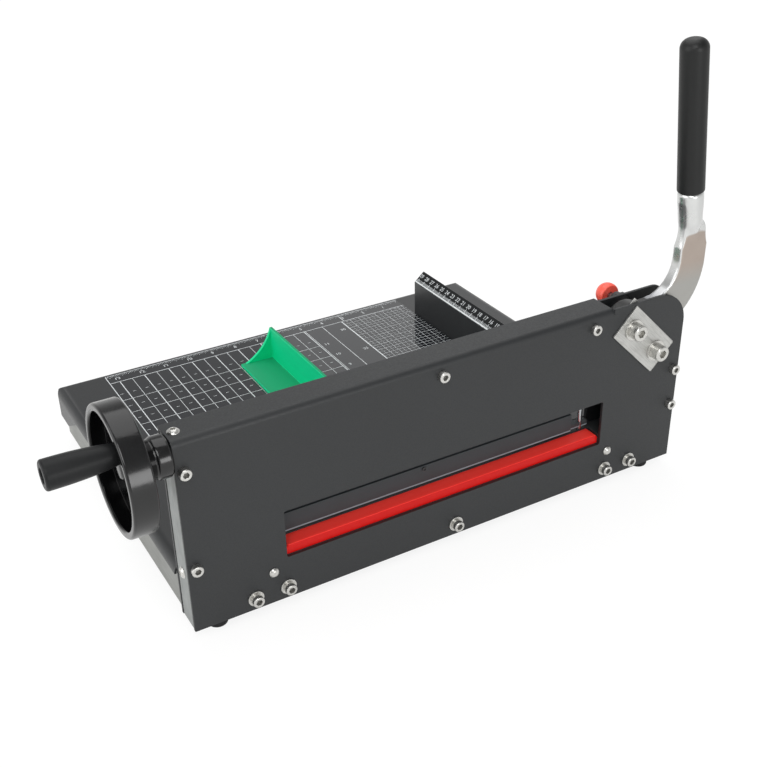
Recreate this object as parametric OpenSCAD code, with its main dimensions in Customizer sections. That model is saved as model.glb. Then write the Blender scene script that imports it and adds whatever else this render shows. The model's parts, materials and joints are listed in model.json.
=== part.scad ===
// Manual stack paper cutter: a low table, a two-plate gantry with a lever-driven knife, and a clamp
// that a hand wheel winds down. Millimetres, +Z up, the operator stands on the -Y side.

/* [Gantry] */
// Length of the front plate
gantry_l = 480; // [463:1:513]
// Height of the front plate
gantry_h = 173; // [170:1:184]
// Sheet thickness of the front and rear plates
plate_t = 3; // [2.5:0.1:3.5]
// Clear depth between the two plates
gantry_gap = 22; // [21.4:0.1:25.3]
// Outer radius of the fold along the top
fold_r = 5.5; // [4.5:0.5:7.5]
// Radius of the front plate's top right corner
corner_r = 31; // [16:1:39]
// Radius of the rear plate's top right corner
rear_corner_r = 15.5; // [9:0.5:22]
// Length of the open top behind the lever
slot_l = 82; // [73.6:0.2:87]
// Left edge of the window
window_x = 81.5; // [80.5:0.5:89.5]
// Length of the window
window_l = 312.5; // [290:0.5:318]
// Lower edge of the window above the plate's bottom
window_z = 39.5; // [36.5:0.5:42.5]
// Height of the window
window_h = 44; // [38:0.5:47]
// Width of each end block
end_block_w = 14; // [12.5:0.5:14.5]

/* [Table] */
// Height of the table surface above the plate's bottom
table_z = 48.5; // [47:0.5:51.5]
// Left edge of the table tray
table_x = -2; // [-4:0.5:1.5]
// Width of the table tray
table_w = 473.5; // [463.5:0.5:480]
// Depth from the front plate's face to the table's back edge
table_back = 352.5; // [341.5:0.5:375]
// Sheet thickness of the table tray
tray_t = 2; // [1.5:0.1:2.5]
// Outer radius of the tray's folds
tray_r = 10; // [6.5:0.5:13.5]
// Lower edge of the tray's skirt at the back
skirt_z = 19; // [13.5:0.5:24.5]
// Lower edge of the tray's skirt along the sides
side_skirt_z = 38; // [31.5:0.5:40]
// Length of the deep skirt round a back corner
corner_skirt_l = 67; // [50:1:89]
// Distance of a rail's face from the tray's edge
rail_inset = 4.5; // [3.5:0.5:6.5]
// Width of a side rail
rail_w = 18; // [16:0.5:22.5]
// Wall of the side rails
rail_wall = 3; // [2:0.5:4]
// Diameter of a rubber foot
foot_d = 18; // [16:0.5:20]
// Height of a rubber foot
foot_h = 10; // [6.5:0.5:13.5]
// Depth of the cutting stick, front to back
stick_d = 14; // [13.4:0.1:14.4]

/* [Lever] */
// Distance of the lever's pivot from the right end of the gantry
pivot_inset = 60.5; // [56:0.5:62.5]
// Height of the lever's pivot
pivot_z = 149.5; // [146:0.5:151.5]
// Outside diameter of the pivot sleeve
sleeve_d = 13; // [12:0.5:14]
// Radius of the lever's boss
boss_r = 22; // [21.5:0.5:23.5]
// Thickness of the lever
lever_t = 11; // [9.9:0.1:11.6]
// Width of the lever's flat arm
arm_w = 30; // [26.5:0.5:31]
// Inner radius of the lever's elbow
elbow_r = 31.5; // [27:0.5:36]
// Outer radius of the lever's elbow
elbow_out = 64.5; // [60:0.5:66.5]
// Length of the straight arm above the elbow
arm_l = 34.5; // [31:0.5:44.5]
// Lean of the grip to the left, in degrees
grip_lean = 7; // [4:0.5:12]
// Diameter of the grip
grip_d = 23.5; // [22:0.5:29]
// Length of the grip
grip_l = 129.5; // [100.5:0.5:145]
// Distance from the pivot to the crank pin
crank_r = 56; // [53.8:0.2:56.4]
// Direction of the crank at rest, in degrees from +X towards +Z
crank_a = 190; // [188:0.5:192]
// Swing of the lever, in degrees
lever_swing = 80; // [70:1:80]
// Diameter of the crank pin
crank_pin_d = 11; // [9:0.5:12]
// Thickness of the crank's nose and of the swing link
nose_t = 4; // [3.5:0.1:4.2]

/* [Silver plates] */
// Long side of the outer silver plate
silver_l = 67; // [62.5:0.5:71.5]
// Short side of the silver plates
silver_w = 34; // [31:0.5:37]
// Thickness of the outer silver plate
silver_t = 2; // [1.5:0.1:3]
// Thickness of the inner silver plate
inner_silver_t = 1; // [0.8:0.1:1.2]
// Distance between the two bolts of the silver plate
silver_pitch = 39; // [37:0.5:41]

/* [Knife] */
// Thickness of the knife carrier
carrier_t = 5; // [4.5:0.1:5.2]
// Thickness of the blade
blade_t = 3; // [2.5:0.1:3.2]
// Height of the blade
blade_h = 28; // [24.5:0.5:31.5]
// Length of the blade past each end of the window
blade_over = 10; // [6.5:0.5:10]
// Height of the bevel on the blade's edge
bevel_h = 6.5; // [4.5:0.5:8.5]
// Height of the full-thickness bar above the blade
carrier_bar_h = 18; // [17:0.5:19]
// Diameter of the swing link's stud
stud_d = 9; // [8:0.5:10]
// Diameter of the swing link's pin on the carrier
link_pin_d = 8; // [7:0.5:9]

/* [Clamp] */
// Gap between the clamp and the table at rest
clamp_gap = 3; // [2:0.1:4]
// Travel of the clamp upwards from rest
clamp_lift = 39; // [33.5:0.5:40]
// Height of the clamp's foot
clamp_foot_h = 17.5; // [11.5:0.5:18.5]
// Height of the clamp's low ends
clamp_low_h = 22.5; // [18:0.5:24.5]
// Diameter of the clamp's guide rods
rod_d = 4.5; // [3.9:0.1:5.1]
// Thickness of the wedge bar
wedge_t = 2.5; // [2:0.1:2.8]
// Diameter of the clamp's pins
clamp_pin_d = 8; // [6.8:0.2:9.2]

/* [Hand wheel] */
// Diameter of the hand wheel
wheel_d = 99; // [89:1:111]
// Width of the hand wheel's rim
rim_w = 19; // [15:0.5:22]
// Radial thickness of the rim
rim_t = 6; // [5:0.5:9]
// Length of the hub between the rim and the gantry
hub_l = 24.5; // [20:0.5:31]
// Diameter of the hub
hub_d = 32.5; // [27:0.5:36]
// Diameter of the drive screw
screw_d = 8; // [7:0.2:8.4]
// Height of the drive screw's axis below the gantry's top
screw_drop = 14.2; // [13.6:0.1:14.8]
// Distance of the drive screw's axis behind the front plate
screw_inset = 6.5; // [6:0.1:6.8]
// Radius at which the revolving handle sits
handle_r = 32.5; // [28:0.5:34]
// Angle of the handle from the top towards the operator, in degrees
handle_turn = 38; // [0:1:90]
// Length of the revolving handle
handle_l = 60; // [51:1:69]
// Largest diameter of the revolving handle
handle_d = 22; // [19:0.5:25]
// Diameter of the handle's spindle
spindle_d = 6.5; // [5.5:0.5:7.5]

/* [Lock] */
// Diameter of the lock pin
lock_pin_d = 6; // [5:0.2:6.4]
// Travel of the lock pin
lock_travel = 6; // [4:0.5:7]
// Diameter of the red knob
lock_knob_d = 20.5; // [17.5:0.5:24.5]
// Length of the red knob
lock_knob_l = 14.5; // [12.5:0.5:18]

/* [Fence and pusher] */
// Distance of the fence's face from the window's right end
fence_inset = 10.5; // [9:0.5:15.5]
// Height of the fence's wall
fence_h = 37.5; // [31.5:0.5:42.5]
// Width of the slanted band that carries the ruler
fence_band = 15; // [12:0.5:18]
// Slope of that band, in degrees
fence_slope = 40; // [25:1:55]
// Width of the fence's foot
fence_foot = 19; // [15.5:0.5:22.5]
// Length of the fence
fence_l = 270; // [223:1:272]
// Length of the pusher
pusher_l = 134; // [89:1:145]
// Width of the pusher's base
pusher_w = 36.5; // [29:0.5:42.5]
// Height of the pusher's wall
pusher_h = 35.5; // [29:0.5:40]
// Wall thickness of the pusher
pusher_t = 3; // [2:0.1:4]

/* [Fasteners] */
// Diameter of the small plate screws
small_d = 5.5; // [4.5:0.5:6]
// Diameter of the large base bolts and of the pivot bolts
large_d = 6.5; // [5.5:0.5:7]
// Diameter of the pivot bolts
pivot_bolt_d = 9; // [8:0.5:10]

/* [Clearances] */
// Gap between plates that slide past each other
side_gap = 0.5; // [0.3:0.05:0.6]
// Radial clearance of a running pin
run_gap = 0.05; // [0.02:0.01:0.09]
// Radial clearance of screws and of loose pins
loose_gap = 0.3; // [0.2:0.05:0.4]

/* [Hidden] */
$fn = 64;
eps = 0.01;
all_round = [1, 1, 1, 1];

// Depth layers inside the gantry, from the front plate to the rear plate
y_in = plate_t;
y_back = plate_t + gantry_gap;
y_rear = y_back + plate_t;
lever_y = y_in + inner_silver_t + side_gap;
carrier_y = lever_y + nose_t + side_gap;
knife_y = carrier_y + carrier_t;
wedge_y = knife_y + 2 * side_gap;
clamp_y = wedge_y + wedge_t + side_gap;
clamp_back = y_back - side_gap;
clamp_foot_y = knife_y + 4 * side_gap;

// Lever and knife linkage
flange_l = gantry_l - slot_l;
pivot_x = gantry_l - pivot_inset;
crank_pin_x = pivot_x + crank_r * cos(crank_a);
crank_pin_z = pivot_z + crank_r * sin(crank_a);
knife_shift = crank_r * (cos(crank_a + lever_swing) - cos(crank_a));
knife_drop = crank_r * (sin(crank_a) - sin(crank_a + lever_swing));
elbow_x = pivot_x + 20.5;
elbow_z = pivot_z + 18 + elbow_r;
elbow_low = elbow_z - 4.5;
arm_low = elbow_z - elbow_r - arm_w;
arm_right = elbow_x + elbow_r + arm_w;
arm_top = elbow_z + arm_l;
shoulder_r = 11;
neck_x = arm_right - 16.7;
neck_z = arm_top - 18;
neck_h = 39;
neck_d = 22.3;
shank_d = 18;
nose_w = 20;
edge_z = table_z + loose_gap + knife_drop;
blade_x0 = window_x - blade_over - knife_shift;
blade_x1 = window_x + window_l + blade_over - knife_shift;
blade_top = edge_z + blade_h;
carrier_top = blade_top + carrier_bar_h;
carrier_z0 = edge_z + 10;
link_pin_x = blade_x0 + 58;
link_pin_z = blade_top + carrier_bar_h / 2;
stud_x = link_pin_x - crank_r * cos(crank_a);
stud_z = link_pin_z - crank_r * sin(crank_a);
link_end_r = 9;
link_w = 13;

// Clamp, wedge bar and drive screw
clamp_drop = clamp_gap - loose_gap;
clamp_z = table_z + clamp_gap;
screw_y = y_in + screw_inset;
screw_z = gantry_h - screw_drop;
wedge_top = gantry_h - plate_t - 2.5;
slot_margin = clamp_pin_d / 2 + 4;
clamp_pin_z = wedge_top - slot_margin - clamp_lift;
wedge_z0 = clamp_pin_z - clamp_drop - slot_margin;
clamp_pin_xs = [89, 301];
rod_left = 22;
rod_to_pivot = 34;
rod_xs = [rod_left, pivot_x - rod_to_pivot];
clamp_tall_x = [rod_xs[0] + 5, rod_xs[1] - 17.5];
clamp_low_x = [rod_xs[0] - 4.5, rod_xs[1] + 7.5];
clamp_face_end = rod_xs[1] - 12.5;
clamp_tab_h = 5;
rod_y = (clamp_foot_y + clamp_back) / 2;
screw_end = 233;
block_x = 224.5;
post_to_pivot = 42.5;
post_x = pivot_x - post_to_pivot;
post_d = 10;
top_screw_z = gantry_h - 12.3;

// Hand wheel and handle
rim_x1 = -hub_l;
rim_x0 = rim_x1 - rim_w;
web_t = 4.5;
web_x = rim_x1 - 2;
hub_gap = 0.4;
cap_x = web_x - web_t - 3;
handle_y = screw_y - handle_r * sin(handle_turn);
handle_z = screw_z + handle_r * cos(handle_turn);
handle_x1 = web_x - web_t - 0.5;
handle_x0 = handle_x1 - handle_l;

// Lock: an axis above and to the right of the pivot, inside the lever's boss
lock_r = 16;
lock_a = 48;
lock_x = pivot_x + lock_r * cos(lock_a);
lock_z = pivot_z + lock_r * sin(lock_a);
bush_d = 13;
bush_l = 9;

// Second bolt of the silver plates, down and to the right of the pivot
brace_x = pivot_x + silver_pitch * cos(45);
brace_z = pivot_z - silver_pitch * sin(45);
silver_x = (pivot_x + brace_x) / 2;
silver_z = (pivot_z + brace_z) / 2;

// Fastener places on the front plate, each as [x, z]
left_screw_x = 6.7;
left_screw_high = 146.2;
left_screw_low = 59.2;
right_screw_in = 6.2;
right_screw_x = gantry_l - right_screw_in;
right_screw_high = 94.6;
right_screw_low = 58;
small_at = [
    [left_screw_x, left_screw_high], [left_screw_x, left_screw_low],
    [block_x, top_screw_z], [post_x, top_screw_z],
    [right_screw_x, right_screw_high], [right_screw_x, right_screw_low]
];
small_head_d = 9.5;
small_head_h = 5;
small_key = 5.1;
side_screw_y = y_in + gantry_gap / 2;
side_screw_z = 49;
base_bolt_z = 11.2;
base_outer_left = 52;
base_inner_left = 80.4;
base_middle = 239.5;
base_inner_right = 78.4;
base_outer_right = 50;
base_bolt_xs = [
    base_outer_left, base_inner_left, base_middle,
    gantry_l - base_inner_right, gantry_l - base_outer_right
];
base_head_d = 9.6;
base_head_h = 5.8;
base_key = 5.6;
base_washer_d = 13.6;
pan_left = 69;
pan_right = 76.5;
pan_z = 29.6;
pan_at = [[pan_left, pan_z], [gantry_l - pan_right, pan_z]];
pan_d = 4.5;
base_washer_t = 1.2;
pivot_washer_t = 1.6;
fence_screw_ys = [67, 250];
fence_screw_d = 4.5;
bed_x0 = end_block_w + 0.5;
bed_x1 = gantry_l - end_block_w - 0.5;
table_x1 = table_x + table_w;
tray_y0 = y_rear + 0.2;
rail_in = table_x + rail_inset + rail_w;
rail_back = table_back - tray_t - tray_r;
cross_d = 13;
rear_foot_inset = 62;
fence_x = window_x + window_l - fence_inset;
fence_y0 = y_rear + 4.5;
fence_screw_x = fence_x + fence_foot - 6.5;
sheet = 2;

// Frame: the middle of the footprint, on the surface the feet stand on
frame_x = (handle_x0 + arm_right) / 2;
frame_y = (screw_y - wheel_d / 2 + table_back) / 2;

module in_frame() {
    translate([-frame_x, -frame_y, foot_h]) children();
}

// Extrudes an outline drawn in (x, z) from y0 to y1
module slab_y(y0, y1) {
    translate([0, y1, 0]) rotate([90, 0, 0]) linear_extrude(y1 - y0) children();
}

// Extrudes an outline drawn in (y, z) from x0 to x1
module slab_x(x0, x1) {
    translate([x0, 0, 0]) rotate([90, 0, 90]) linear_extrude(x1 - x0) children();
}

module rod_along_y(x, z, d, y0, y1) {
    translate([x, y0, z]) rotate([-90, 0, 0]) cylinder(d = d, h = y1 - y0);
}

module rod_along_x(y, z, d, x0, x1) {
    translate([x0, y, z]) rotate([0, 90, 0]) cylinder(d = d, h = x1 - x0);
}

// Rectangle from its two corners
module box2(a, b) {
    translate(a) square(b - a);
}

// Rectangle whose corners marked 1 in [low x low y, high x low y, high x high y, low x high y] are round
module round_box2(a, b, r, on) {
    difference() {
        box2(a, b);
        for (i = [0:3])
            if (on[i]) {
                sx = (i == 0 || i == 3) ? 1 : -1;
                sy = (i < 2) ? 1 : -1;
                cx = (sx > 0) ? a[0] : b[0];
                cy = (sy > 0) ? a[1] : b[1];
                translate([cx, cy]) scale([sx, sy]) difference() {
                    translate([-1, -1]) square(r + 1);
                    translate([r, r]) circle(r);
                }
            }
    }
}

// Socket cap screw along +Y, the underside of its head at y = 0
module cap_screw(d, head_d, head_h, len, key) {
    chamfer = 0.06 * head_d;
    rotate([-90, 0, 0]) {
        difference() {
            union() {
                translate([0, 0, chamfer - head_h]) cylinder(d = head_d, h = head_h - chamfer);
                translate([0, 0, -head_h]) cylinder(d1 = head_d - 2 * chamfer, d2 = head_d, h = chamfer);
            }
            translate([0, 0, -head_h - eps]) cylinder(d = key, h = 0.55 * head_h, $fn = 6);
        }
        translate([0, 0, -eps]) cylinder(d = d, h = len + eps);
    }
}

// Washer along Y with its back face at y = 0
module washer(d, hole, t) {
    rotate([90, 0, 0]) difference() {
        cylinder(d = d, h = t);
        translate([0, 0, -1]) cylinder(d = hole, h = t + 2);
    }
}

// Rectangle of a silver plate, its long side falling to the right at 45 degrees
module silver_outline(l) {
    translate([silver_x, silver_z]) rotate(-45) square([l, silver_w], center = true);
}

// Gantry

module front_plate() {
    color("#444646") in_frame() difference() {
        union() {
            slab_y(0, plate_t) difference() {
                round_box2([0, 0], [gantry_l, gantry_h], corner_r, [0, 0, 1, 0]);
                box2([-1, gantry_h - fold_r], [flange_l, gantry_h + 1]);
            }
            slab_x(0, flange_l) union() {
                translate([fold_r, gantry_h - fold_r]) difference() {
                    intersection() {
                        circle(fold_r);
                        box2([-fold_r, 0], [0, fold_r]);
                    }
                    circle(fold_r - plate_t);
                }
                box2([fold_r, gantry_h - plate_t], [y_rear, gantry_h]);
            }
        }
        slab_y(-1, plate_t + 1)
            round_box2([window_x, window_z], [window_x + window_l, window_z + window_h], 1.5, all_round);
        for (p = small_at)
            rod_along_y(p[0], p[1], small_d + 2 * loose_gap, -1, plate_t + 1);
        for (x = base_bolt_xs)
            rod_along_y(x, base_bolt_z, large_d + 2 * loose_gap, -1, plate_t + 1);
        for (p = pan_at)
            rod_along_y(p[0], p[1], pan_d + 2 * loose_gap, -1, plate_t + 1);
        for (p = [[pivot_x, pivot_z], [brace_x, brace_z]])
            rod_along_y(p[0], p[1], pivot_bolt_d + 2 * loose_gap, -1, plate_t + 1);
        translate([end_block_w / 2, y_in + gantry_gap / 2, gantry_h - fold_r])
            cylinder(d = small_d + 2 * loose_gap, h = fold_r + 1);
    }
}

module rear_plate() {
    throat_x0 = clamp_low_x[0] - 1;
    throat_x1 = clamp_low_x[1] + 4;
    color("#3C3E3E") in_frame() difference() {
        slab_y(y_back, y_rear) difference() {
            round_box2([0, 0], [gantry_l - 2, gantry_h - plate_t], rear_corner_r, [0, 0, 1, 0]);
            round_box2([throat_x0, table_z], [throat_x1, table_z + clamp_lift + 8], 3, [0, 0, 1, 1]);
        }
        for (x = base_bolt_xs)
            rod_along_y(x, base_bolt_z, large_d + 2 * loose_gap, y_back - 1, y_rear + 1);
        rod_along_y(pivot_x, pivot_z, pivot_bolt_d + 2 * loose_gap, y_back - 1, y_rear + 1);
        rod_along_y(lock_x, lock_z, bush_d + 2 * loose_gap, y_back - 1, y_rear + 1);
    }
}

module left_end_block() {
    color("#B9BBB8") in_frame() difference() {
        slab_x(0.5, 0.5 + end_block_w) box2([y_in, 0], [y_back, gantry_h - plate_t]);
        rod_along_x(screw_y, screw_z, screw_d + 2 * run_gap, -1, end_block_w + 2);
        for (i = [0, 1])
            rod_along_y(small_at[i][0], small_at[i][1], small_d, y_in - 1, y_in + 10);
        translate([end_block_w / 2, y_in + gantry_gap / 2, gantry_h - plate_t - 4])
            cylinder(d = small_d, h = 5);
        rod_along_x(side_screw_y, side_screw_z, small_d, 0, 5);
        slab_y(y_in - 1, y_in + fold_r) box2([0, gantry_h - fold_r], [end_block_w + 1, gantry_h]);
    }
}

module right_end_block() {
    color("#B9BBB8") in_frame() difference() {
        slab_x(gantry_l - 0.5 - end_block_w, gantry_l - 0.5)
            box2([y_in, 0], [y_back, gantry_h - corner_r - 18]);
        for (i = [4, 5])
            rod_along_y(small_at[i][0], small_at[i][1], small_d, y_in - 1, y_in + 10);
    }
}

module bed_bar() {
    color("#6E7070") in_frame() difference() {
        slab_x(bed_x0, bed_x1) difference() {
            box2([y_in, 0], [y_back, table_z]);
            box2([y_in + 11, 4], [y_back - 3, window_z - 6]);
        }
        translate([window_x, y_in - 1, window_z])
            cube([window_l, 1 + stick_d + loose_gap, table_z]);
        for (x = base_bolt_xs)
            rod_along_y(x, base_bolt_z, large_d + 2 * loose_gap, y_in - 1, y_back + 1);
        for (p = pan_at)
            rod_along_y(p[0], p[1], pan_d, y_in - 1, y_in + 7);
        for (x = rod_xs)
            translate([x, rod_y, table_z - 6]) cylinder(d = rod_d, h = 7);
    }
}

module cutting_stick() {
    end_cut = 3.5;
    x0 = window_x + loose_gap;
    x1 = window_x + window_l - loose_gap;
    color("#C8201C") in_frame() slab_y(y_in + loose_gap / 3, y_in + stick_d) difference() {
        box2([x0, window_z], [x1, table_z]);
        for (x = [x0, x1])
            translate([x, table_z]) rotate(45) square(end_cut, center = true);
    }
}

module screw_block() {
    color("#4A4C4E") in_frame() difference() {
        slab_x(block_x - 9, block_x + 9) box2([y_in, screw_z - 10], [knife_y, gantry_h - plate_t]);
        rod_along_x(screw_y, screw_z, screw_d + 2 * run_gap, block_x - 10, block_x + 10);
        rod_along_y(block_x, top_screw_z, small_d, y_in - 1, y_in + 2.2);
        slab_y(y_in - 1, fold_r) box2([block_x - 10, gantry_h - fold_r], [block_x + 10, gantry_h]);
    }
}

module spacer_post() {
    color("#A9ABA9") in_frame() difference() {
        rod_along_y(post_x, top_screw_z, post_d, y_in, y_back);
        rod_along_y(post_x, top_screw_z, small_d, y_in - 1, y_in + 10);
    }
}

// Table and base

module tray_solid(inset) {
    r = tray_r - inset;
    top = table_z - inset;
    front = tray_y0 - 3 * inset;
    intersection() {
        slab_y(tray_y0 - 2 * inset, table_back - inset)
            round_box2([table_x + inset, skirt_z - 2 * inset], [table_x1 - inset, top], r, [0, 0, 1, 1]);
        slab_x(table_x, table_x1)
            round_box2([front, skirt_z - 3 * inset], [table_back - inset, top], r, [0, 0, 1, 0]);
        linear_extrude(table_z)
            round_box2([table_x + inset, front], [table_x1 - inset, table_back - inset], r, [0, 0, 1, 1]);
    }
}

// Pressed tray; its skirt is deep round the back and shallow along the sides
module table_tray() {
    cut_y0 = table_back - corner_skirt_l;
    cut_y1 = table_back - corner_skirt_l / 2;
    color("#3E4042") in_frame() difference() {
        tray_solid(0);
        tray_solid(tray_t);
        slab_x(table_x - 1, table_x1 + 1) polygon([
            [tray_y0 - 1, skirt_z - 1], [tray_y0 - 1, side_skirt_z], [cut_y0, side_skirt_z],
            [cut_y1, skirt_z], [cut_y1, skirt_z - 1]
        ]);
        for (y = fence_screw_ys)
            translate([fence_screw_x, fence_y0 + y, table_z - 5]) cylinder(d = fence_screw_d, h = 6);
    }
}

// Box section along the table's side
module side_rail() {
    x0 = table_x + rail_inset;
    slab_y(tray_y0, rail_back) difference() {
        round_box2([x0, 0], [x0 + rail_w, table_z - tray_t], tray_r, [0, 0, 0, 1]);
        box2([x0 + rail_wall, rail_wall], [x0 + rail_w - rail_wall, table_z - tray_t - tray_r]);
    }
}

module left_rail() {
    color("#A8AAA7") in_frame() side_rail();
}

module right_rail() {
    color("#A8AAA7") in_frame() translate([table_x + table_x1, 0, 0]) mirror([1, 0, 0]) side_rail();
}

module front_rail() {
    color("#9C9E9C") in_frame() difference() {
        slab_x(rail_in, table_x + table_x1 - rail_in)
            box2([tray_y0, 2], [tray_y0 + cross_d, table_z - tray_t]);
        for (x = base_bolt_xs)
            rod_along_y(x, base_bolt_z, large_d, tray_y0 - 1, tray_y0 + cross_d - 1);
    }
}

module back_rail() {
    color("#9C9E9C") in_frame() slab_x(rail_in, table_x + table_x1 - rail_in)
        box2([rail_back - cross_d, 6], [rail_back, table_z - tray_t]);
}

module feet() {
    y_front = y_in + gantry_gap / 2;
    y_end = rail_back - foot_d / 2 - rear_foot_inset;
    inset = rail_in - rail_w / 2;
    color("#1C1D1E") in_frame()
        for (p = [[bed_x0 + foot_d / 2, y_front], [bed_x1 - foot_d / 2, y_front],
                  [inset, y_end], [table_x + table_x1 - inset, y_end]])
            translate([p[0], p[1], -foot_h]) rotate_extrude() polygon([
                [0, 0], [foot_d / 2 - 1.5, 0], [foot_d / 2 - 0.5, 1], [foot_d / 2, foot_h], [0, foot_h]
            ]);
}

// Folded sheet along Y: foot, wall, and the slanted band that carries the ruler
module fence() {
    wall_top = table_z + fence_h;
    band_x = fence_x + fence_band * cos(fence_slope);
    band_z = wall_top + fence_band * sin(fence_slope);
    color("#2E3030") in_frame() difference() {
        slab_y(fence_y0, fence_y0 + fence_l) polygon([
            [fence_x, table_z], [fence_x + fence_foot, table_z], [fence_x + fence_foot, table_z + sheet],
            [fence_x + sheet, table_z + sheet],
            [fence_x + sheet, wall_top - sheet * tan(45 - fence_slope / 2)],
            [band_x + sheet * sin(fence_slope), band_z - sheet * cos(fence_slope)], [band_x, band_z],
            [fence_x, wall_top]
        ]);
        for (y = fence_screw_ys)
            translate([fence_screw_x, fence_y0 + y, table_z - 1])
                cylinder(d = fence_screw_d + 2 * loose_gap, h = sheet + 2);
    }
}

module fence_screws() {
    color("#B4B6B6") in_frame()
        for (y = fence_screw_ys)
            translate([fence_screw_x, fence_y0 + y, table_z + sheet]) rotate([-90, 0, 0])
                cap_screw(fence_screw_d, 7.8, 2.6, sheet + tray_t - 0.3, 2.5);
}

// Loose L of green plastic with a triangular web across its back end
module pusher() {
    pusher_x1 = 207.5;
    pusher_y1 = 290;
    web_r = 52;
    web_foot = 5 - pusher_w;
    web_side = [-pusher_t - web_foot, pusher_h - pusher_t];
    web_middle = [web_foot, pusher_t] + web_side / 2;
    web_off = sqrt(pow(web_r, 2) - pow(norm(web_side) / 2, 2));
    color("#0CCB85") in_frame() translate([pusher_x1, pusher_y1 - pusher_l, table_z + loose_gap]) union() {
        slab_y(0, pusher_l) union() {
            box2([-pusher_w, 0], [0, pusher_t]);
            box2([-pusher_t, 0], [0, pusher_h]);
        }
        slab_y(pusher_l - pusher_t, pusher_l) difference() {
            polygon([
                [web_foot, pusher_t - eps], [eps - pusher_t, pusher_t - eps], [eps - pusher_t, pusher_h]
            ]);
            translate(web_middle + web_off * [-web_side[1], web_side[0]] / norm(web_side))
                circle(web_r, $fn = 160);
        }
    }
}

// Lever and its pivot

module outer_silver_plate() {
    color("#C9C8C2") in_frame() difference() {
        slab_y(-silver_t, 0) silver_outline(silver_l);
        for (p = [[pivot_x, pivot_z], [brace_x, brace_z]])
            rod_along_y(p[0], p[1], pivot_bolt_d + 2 * loose_gap, -silver_t - 1, 1);
    }
}

module inner_silver_plate() {
    color("#C9C8C2") in_frame() difference() {
        slab_y(y_in, y_in + inner_silver_t) translate([0.5, 5.5]) silver_outline(silver_l);
        for (p = [[pivot_x, pivot_z], [brace_x, brace_z]])
            rod_along_y(p[0], p[1], pivot_bolt_d + 2 * loose_gap, y_in - 1, y_in + inner_silver_t + 1);
        slab_y(y_in - 1, lever_y) box2([flange_l - 40, gantry_h - fold_r - 1], [flange_l + 1, gantry_h + 1]);
    }
}

module pivot_sleeve() {
    color("#9EA0A0") in_frame() difference() {
        rod_along_y(pivot_x, pivot_z, sleeve_d, y_in + inner_silver_t, y_back);
        rod_along_y(pivot_x, pivot_z, pivot_bolt_d + 2 * loose_gap, y_in, y_back + 1);
    }
}

bolt_face = -silver_t - pivot_washer_t;
nut_h = 7;

module pivot_bolt() {
    color("#CFD0CE") in_frame() translate([pivot_x, bolt_face, pivot_z])
        cap_screw(pivot_bolt_d, 14.5, 9, y_rear + nut_h + 1 - bolt_face, 7.8);
}

module brace_bolt() {
    color("#CFD0CE") in_frame() translate([brace_x, bolt_face, brace_z])
        cap_screw(pivot_bolt_d, 14.5, 9, y_in + inner_silver_t + nut_h - bolt_face, 7.8);
}

module pivot_washers() {
    color("#D6D6D2") in_frame()
        for (p = [[pivot_x, pivot_z], [brace_x, brace_z]])
            translate([p[0], -silver_t, p[1]]) washer(19, pivot_bolt_d + 2 * loose_gap, pivot_washer_t);
}

module hex_nut(x, z, y0) {
    translate([x, y0, z]) rotate([-90, 0, 0]) difference() {
        cylinder(d = 16.3, h = nut_h, $fn = 6);
        translate([0, 0, -1]) cylinder(d = pivot_bolt_d, h = nut_h + 2);
    }
}

module pivot_nuts() {
    color("#B4B6B6") in_frame() {
        hex_nut(pivot_x, pivot_z, y_rear);
        hex_nut(brace_x, brace_z, y_in + inner_silver_t);
    }
}

// Flat steel lever: boss, short bar, elbow, straight arm and a round shank inside the grip.
// The crank's nose stands to the left of the boss and is thinner, so that the carrier runs behind it.
module lever_arm() {
    color("#C4C6C6") in_frame() difference() {
        union() {
            slab_y(lever_y, lever_y + lever_t) union() {
                translate([pivot_x, pivot_z]) circle(boss_r);
                difference() {
                    round_box2([pivot_x, arm_low], [arm_right, arm_top], shoulder_r, [0, 0, 1, 0]);
                    round_box2([pivot_x - 1, elbow_z - elbow_r], [elbow_x + elbow_r, arm_top + 1],
                        elbow_r, [0, 1, 0, 0]);
                    difference() {
                        box2([arm_right - elbow_out, arm_low - 1], [arm_right + 1, elbow_low]);
                        translate([arm_right - elbow_out, elbow_low]) circle(elbow_out);
                    }
                    translate([elbow_x + elbow_r, arm_top]) scale([1, -1]) difference() {
                        translate([-1, -1]) square(shoulder_r + 1);
                        translate([shoulder_r, shoulder_r]) circle(shoulder_r);
                    }
                }
            }
            slab_y(lever_y, lever_y + nose_t) {
                translate([crank_pin_x, crank_pin_z]) circle(d = nose_w);
                translate([pivot_x, pivot_z]) rotate(crank_a) box2([0, -nose_w / 2], [crank_r, nose_w / 2]);
            }
            translate([neck_x, lever_y + lever_t / 2, neck_z]) rotate([0, -grip_lean, 0]) rotate_extrude()
                polygon([
                    [0, 0], [lever_t / 2 - 0.3, 0], [neck_d / 2, 15.5], [neck_d / 2, neck_h + 5],
                    [shank_d / 2, neck_h + 6], [shank_d / 2, neck_h + grip_l - 17], [0, neck_h + grip_l - 17]
                ]);
        }
        rod_along_y(pivot_x, pivot_z, sleeve_d + 2 * run_gap, lever_y - 1, lever_y + lever_t + 1);
        rod_along_y(crank_pin_x, crank_pin_z, crank_pin_d, lever_y - 1, lever_y + nose_t + 1);
        for (turn = [0, -lever_swing])
            rod_along_y(pivot_x + lock_r * cos(lock_a + turn), pivot_z + lock_r * sin(lock_a + turn),
                lock_pin_d + 2 * loose_gap, lever_y + 1, lever_y + lever_t + 1);
    }
}

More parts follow.
